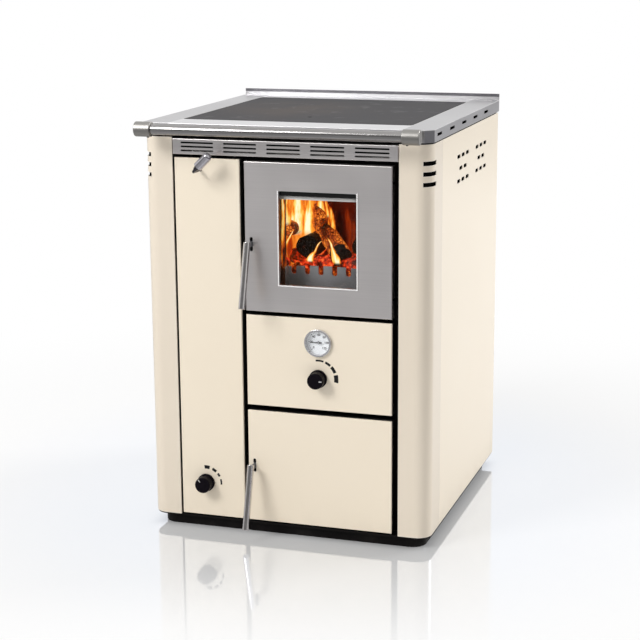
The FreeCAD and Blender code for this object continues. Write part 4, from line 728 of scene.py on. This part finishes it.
bm = bmesh.new()
for step in range(25):
    if step % 4:
        dial_mark(bm, dial_start + step * tick_turn, 0.0203, 0.0224, 0.0005)
    else:
        dial_mark(bm, dial_start + step * tick_turn, 0.0193, 0.0227, 0.0010)
for step in range(7):
    letter = bpy.data.curves.new("number", "FONT")
    letter.body = str(step * 20)
    letter.size = number_height
    letter.align_x = "CENTER"
    letter.align_y = "CENTER"
    letter.extrude = ink / 2
    letter.offset = 0.00012
    holder = bpy.data.objects.new("number", letter)
    bpy.context.scene.collection.objects.link(holder)
    bpy.context.view_layer.update()
    shape = bpy.data.meshes.new_from_object(holder.evaluated_get(bpy.context.evaluated_depsgraph_get()))
    turn = math.radians(dial_start + step * number_turn)
    spot = (dial_x + number_radius * math.sin(turn), dial_y - ink / 2,
            dial_z + number_radius * math.cos(turn))
    shape.transform(Matrix.Translation(spot) @ Matrix.Rotation(math.radians(90), 4, "X"))
    bm.from_mesh(shape)
    bpy.data.objects.remove(holder)
    bpy.data.meshes.remove(shape)
piece("dial_print", bm, needle_black, "stove")


# Thermostat
# A moulded housing behind the middle panel and a gloss black knob with a pale pointer line;
# dashes printed on the panel grow thicker towards hot.
knob_black, start = new_finish("knob_black")
shade(start, {"Base Color": tint(cloud(start, 200.0), (0.004, 0.003, 0.005, 1), (0.008, 0.006, 0.009, 1)),
              "Roughness": 0.22 + 0.12 * cloud(start, 120.0), "Specular IOR Level": 0.04,
              "Normal": bump(cloud(start, 1400.0), 0.00001)})
coat(knob_black, "thermostat_knob", "air_knob")
thermostat_plastic, start = new_finish("thermostat_plastic")
shade(start, {"Base Color": tint(cloud(start, 300.0), (0.10, 0.10, 0.10, 1), (0.16, 0.16, 0.16, 1)),
              "Roughness": 0.6 + 0.1 * cloud(start, 500.0), "Normal": bump(cloud(start, 900.0), 0.00005)})
coat(thermostat_plastic, "thermostat_body")
pointer_white, start = new_finish("pointer_white")
shade(start, {"Base Color": tint(cloud(start, 250.0), (0.56, 0.56, 0.55, 1), (0.66, 0.66, 0.65, 1)),
              "Roughness": 0.4 + 0.1 * cloud(start, 300.0)})


def dashes(name, node, arcs, radius):
    """Printed arcs round a knob: start, end and thickness of each, clockwise from the top."""
    low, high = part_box(node)
    panel_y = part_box("middle_front_panel")[0].y
    middle = ((low.x + high.x) / 2, panel_y - ink / 2, (low.z + high.z) / 2)
    bm = bmesh.new()
    for begin, end, width in arcs:
        before = len(bm.verts)
        points = [bm.verts.new((0, 0, radius - width / 2)), bm.verts.new((0, 0, radius + width / 2))]
        bmesh.ops.spin(bm, geom=points + [bm.edges.new(points)], cent=(0, 0, 0), axis=(0, 1, 0),
                       angle=math.radians(end - begin), steps=8)
        set_round(bm, before, begin, middle)
    bmesh.ops.recalc_face_normals(bm, faces=bm.faces)
    bmesh.ops.solidify(bm, geom=bm.faces[:], thickness=ink)
    return piece(name, bm, needle_black, "stove")


def pointer(name, node, angle, body):
    """A pale line let into a knob's front, from halfway out to near the rim."""
    low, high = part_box(node)
    bm = bmesh.new()
    block(bm, (0.0018, 0.0006, 0.0062), (0, 0, 0.0116))
    soften(bm, bm.edges, 0.0002)
    set_round(bm, 0, angle, ((low.x + high.x) / 2, low.y, (low.z + high.z) / 2))
    return piece(name, bm, pointer_white, body)


dashes("thermostat_dashes", "thermostat_knob",
       ((-9.0, 16.5, 0.0038), (22.5, 41.0, 0.0050), (46.5, 68.0, 0.0066), (75.0, 99.0, 0.0090)), 0.0375)
pointer("thermostat_pointer", "thermostat_knob", 88, "thermostat_control")


# Fire door
# Satin stainless outer panel with a folded window reveal, and a pane of ceramic glass with a black
# print along its head and light soot near its edges. An air-wash strip crosses the head of the window
# behind the glass, and a thin bead runs down its sides and along its foot; both are coloured near
# white, painted highlights along the window's edges.
coat(satin_steel, "fire_door_panel")
stove_glass, start = new_finish("stove_glass")
low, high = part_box("fire_door_glass")
seat_width, print_width = 0.0125, 0.0195
edge_x = abs(along(start, "X") - (low.x + high.x) / 2) - ((high.x - low.x) / 2 - seat_width)
edge_z = abs(along(start, "Z") - (low.z + high.z) / 2) - ((high.z - low.z) / 2 - seat_width)
border = between(along(start, "Z") - (high.z - print_width), 0.0, 0.0006)
near_edge = start.maths("MAXIMUM", edge_x, edge_z)
darkening = between(near_edge + 0.03 * cloud(start, 28.0, detail=5.0), -0.006, 0.02)
shade(start, {"Base Color": tint(border, (0.05, 0.035, 0.02, 1), (0.006, 0.006, 0.006, 1)),
              "Roughness": 0.06 + 0.1 * darkening, "Specular IOR Level": 0.25,
              "Alpha": 0.05 + 0.14 * darkening + 0.95 * border})
coat(stove_glass, "fire_door_glass")

# Near-white steel for the air-wash strip and the bead: painted highlight.
highlight_steel, start = new_finish("highlight_steel")
rolled = cloud(start, 1.0, stretch=(40.0, 500.0, 40.0))
shade(start, {"Base Color": tint(rolled, (0.84, 0.83, 0.82, 1), (0.95, 0.94, 0.93, 1)),
              "Metallic": 0.12, "Roughness": 0.34 + 0.1 * cloud(start, 60.0)})

mouth_left, mouth_right = -0.0229, 0.1649
wash_y, wash_z = high.y + 0.0045, high.z - 0.0235
bm = bmesh.new()
block(bm, (mouth_right - mouth_left, 0.004, 0.0075), ((mouth_left + mouth_right) / 2, wash_y, wash_z))
soften(bm, bm.edges, 0.0008)
piece("air_wash_strip", bm, highlight_steel, "fire_door")

low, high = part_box("fire_door_panel")
pane_left, pane_right, pane_foot, pane_head = -0.01075, 0.15075, 0.532, 0.7215
bead_width, bead_sheet, bead_lift = 0.0025, 0.0012, 0.0008
bead_middle = ((pane_left + pane_right) / 2, low.y - bead_lift, (pane_foot + pane_head) / 2)
bm = bmesh.new()
bmesh.ops.create_grid(bm, x_segments=1, y_segments=1, size=0.5)
bmesh.ops.rotate(bm, cent=(0, 0, 0), matrix=Matrix.Rotation(math.radians(90), 3, "X"), verts=bm.verts)
bead_span, bead_rise = pane_right - pane_left + 2 * bead_width, pane_head - pane_foot + 2 * bead_width
bmesh.ops.scale(bm, vec=(bead_span, 1, bead_rise), verts=bm.verts)
bmesh.ops.translate(bm, vec=bead_middle, verts=bm.verts)
bmesh.ops.inset_region(bm, faces=bm.faces[:], thickness=bead_width, use_even_offset=True, use_boundary=True)
bmesh.ops.delete(bm, geom=[face for face in bm.faces if face.calc_area() > 0.01
                           or face.calc_center_median().z > pane_head], context="FACES")
bmesh.ops.recalc_face_normals(bm, faces=bm.faces)
bmesh.ops.solidify(bm, geom=bm.faces[:], thickness=-bead_sheet)
soften(bm, [line for line in bm.edges if line.calc_face_angle(0) > 1], 0.0004)
piece("window_highlight_bead", bm, highlight_steel, "fire_door")


# Ash pan
# The pan under the grate holds a heap of fine pale ash with a few black cinders in it, loose and
# a little uneven.
ash_grey, start = new_finish("ash_grey")
powder = cloud(start, 120.0, detail=6.0, rough=0.7)
cinder = between(cloud(start, 85.0, detail=3.0), 0.66, 0.72)
shade(start, {"Base Color": tint(cinder, tint(powder, (0.30, 0.29, 0.28, 1), (0.46, 0.45, 0.43, 1)),
                                 (0.03, 0.03, 0.03, 1)),
              "Roughness": 0.95, "Normal": bump(powder, 0.002)})
low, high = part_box("ash_pan")
grip_reach, pan_wall, pan_floor, ash_depth = 0.012, 0.0024, 0.0022, 0.026
pan_front = low.y + grip_reach
bm = bmesh.new()
bmesh.ops.create_grid(bm, x_segments=30, y_segments=60, size=1.0)
for v in bm.verts:
    v.co.x = (low.x + high.x) / 2 + v.co.x * ((high.x - low.x) / 2 - pan_wall)
    v.co.y = (pan_front + high.y) / 2 + v.co.y * ((high.y - pan_front) / 2 - pan_wall)
    v.co.z = low.z + ash_depth + 0.010 * noise.noise(v.co * 16) + 0.004 * noise.noise(v.co * 60)
close_below(bm, low.z + pan_floor)
piece("ash_fill", bm, ash_grey, "stove")


# Air control
# The same moulded knob as the thermostat's, on the tall panel, where it turns the air valve; its
# printed dashes grow thinner as the air shuts.
dashes("air_dashes", "air_knob",
       ((-7.0, 13.0, 0.0074), (24.0, 41.4, 0.0058), (50.2, 63.0, 0.0047), (73.9, 94.6, 0.0036)), 0.033)
pointer("air_pointer", "air_knob", -35, "air_control")


# Studio
# A white floor that mirrors the stove faintly and darkens close to the plinth, a soft lamp at the
# upper left and one behind on the right, and a white sky. What metal mirrors is darker: the sky
# towards the viewer, and a dark cloth beside a white board on the floor at the right.
scene = bpy.context.scene
scene.view_settings.view_transform = "Standard"
bm = bmesh.new()
bmesh.ops.create_grid(bm, x_segments=4, y_segments=4, size=60.0)
floor_mesh = bpy.data.meshes.new("floor")
bm.to_mesh(floor_mesh)
bm.free()
floor = bpy.data.objects.new("floor", floor_mesh)
scene.collection.objects.link(floor)
floor_white, start = new_finish("floor_white")
spot = start.node("ShaderNodeTexCoord", out="Object")
reach = start.node("ShaderNodeVectorMath", {"operation": "LENGTH"}, {0: spot}, out="Value")
path_camera = start.node("ShaderNodeLightPath", out="Is Camera Ray")
path_glossy = start.node("ShaderNodeLightPath", out="Is Glossy Ray")
path_through = start.node("ShaderNodeLightPath", out="Is Transmission Ray")
seen = start.maths("MAXIMUM", start.maths("MAXIMUM", path_camera, path_glossy), path_through)
low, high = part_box("plinth")
clear = start.maths("MAXIMUM", abs(along(start, "X")) - high.x,
                    abs(along(start, "Y") - (low.y + high.y) / 2) - (high.y - low.y) / 2)
open_air = between(clear, -0.012, 0.034) * (0.6 + 0.4 * between(reach, 0.6, 1.8))
matt = start.node("ShaderNodeBsdfDiffuse", None, {"Color": (0.9, 0.9, 0.9, 1)})
gloss = start.node("ShaderNodeBsdfGlossy", None, {"Color": (0.84, 0.89, 0.98, 1), "Roughness": 0.05})
floor_x, floor_y = along(start, "X"), along(start, "Y")
dark_cloth = between(floor_x, 0.9, 1.6) * (1.0 - between(floor_y - 0.35 * floor_x, 0.4, 1.0))
white_board = (between(floor_y - 2.2 * floor_x, -0.96, -0.36) * between(floor_x, 0.30, 0.36)
               * (1.0 - between(floor_y, 4.0, 6.5)))
mirrored_floor = tint(dark_cloth, (0.44, 0.44, 0.45, 1), (0.05, 0.05, 0.07, 1))
mirrored_floor = tint(white_board, mirrored_floor, (0.95, 0.95, 0.96, 1))
white = start.node("ShaderNodeEmission", None, {"Color": tint(path_glossy, (1, 1, 1, 1), mirrored_floor),
                                                "Strength": 1.0})
lit = start.node("ShaderNodeMixShader", None, {0: seen * open_air, 1: matt, 2: white})
mirror_share = 0.46
mirror = path_camera * mirror_share * (1.0 - between(reach, 0.36, 1.0))
floor_mix = start.node("ShaderNodeMixShader", None, {0: mirror, 1: lit, 2: gloss})
start.node("ShaderNodeOutputMaterial", None, {"Surface": floor_mix})
floor_mesh.materials.append(floor_white)

world = bpy.data.worlds.new("studio")
scene.world = world
world.use_nodes = True
world.node_tree.nodes.clear()
start = Tone(world.node_tree)
way = start.node("ShaderNodeTexCoord", out="Generated")
across = start.node("ShaderNodeSeparateXYZ", None, {0: way}, out="X")
forward = start.node("ShaderNodeSeparateXYZ", None, {0: way}, out="Y")
upward = start.node("ShaderNodeSeparateXYZ", None, {0: way}, out="Z")
overhead = between(upward, 0.40, 0.72)
viewer_side = between(0.0 - forward, 0.15, 0.85)
right_side = between(across, -0.1, 0.6) * between(forward, -0.4, 0.1)
corner_side = between(across - forward, 0.3, 1.2)
mirrored = overhead + (1.0 - overhead) * (1.0 - 0.80 * viewer_side - 0.46 * right_side)
scattered = 0.56 * (1.0 - 0.62 * corner_side * (1.0 - overhead))
path_camera = start.node("ShaderNodeLightPath", out="Is Camera Ray")
path_glossy = start.node("ShaderNodeLightPath", out="Is Glossy Ray")
level = path_camera + (1.0 - path_camera) * (path_glossy * mirrored + (1.0 - path_glossy) * scattered)
sky = start.node("ShaderNodeBackground", None, {"Color": (1, 1, 1, 1), "Strength": level})
start.node("ShaderNodeOutputWorld", None, {"Surface": sky})


def lamp(name, spot, aim, size, power):
    """A square soft lamp turned towards a point."""
    data = bpy.data.lights.new(name, "AREA")
    data.size = size
    data.energy = power
    made = bpy.data.objects.new(name, data)
    scene.collection.objects.link(made)
    made.location = spot
    made.rotation_euler = (Vector(aim) - Vector(spot)).to_track_quat("-Z", "Y").to_euler()


stove_middle = (0.0, 0.0, 0.45)
lamp("key_lamp", (-2.1, -3.1, 3.0), stove_middle, 1.6, 107.0)
lamp("side_lamp", (4.3, 3.4, 2.7), stove_middle, 2.4, 210.0)

camera = bpy.data.objects.new("camera", bpy.data.cameras.new("camera"))
scene.collection.objects.link(camera)
camera.data.lens = 93.5
camera_place = (1.0706, -3.3777, 1.2172)
camera_turn, camera_tilt, camera_roll = 17.97, 90 - 13.10, -0.40
camera.matrix_world = (Matrix.Translation(camera_place)
                       @ Matrix.Rotation(math.radians(camera_turn), 4, "Z")
                       @ Matrix.Rotation(math.radians(camera_tilt), 4, "X")
                       @ Matrix.Rotation(math.radians(camera_roll), 4, "Z"))
scene.camera = camera
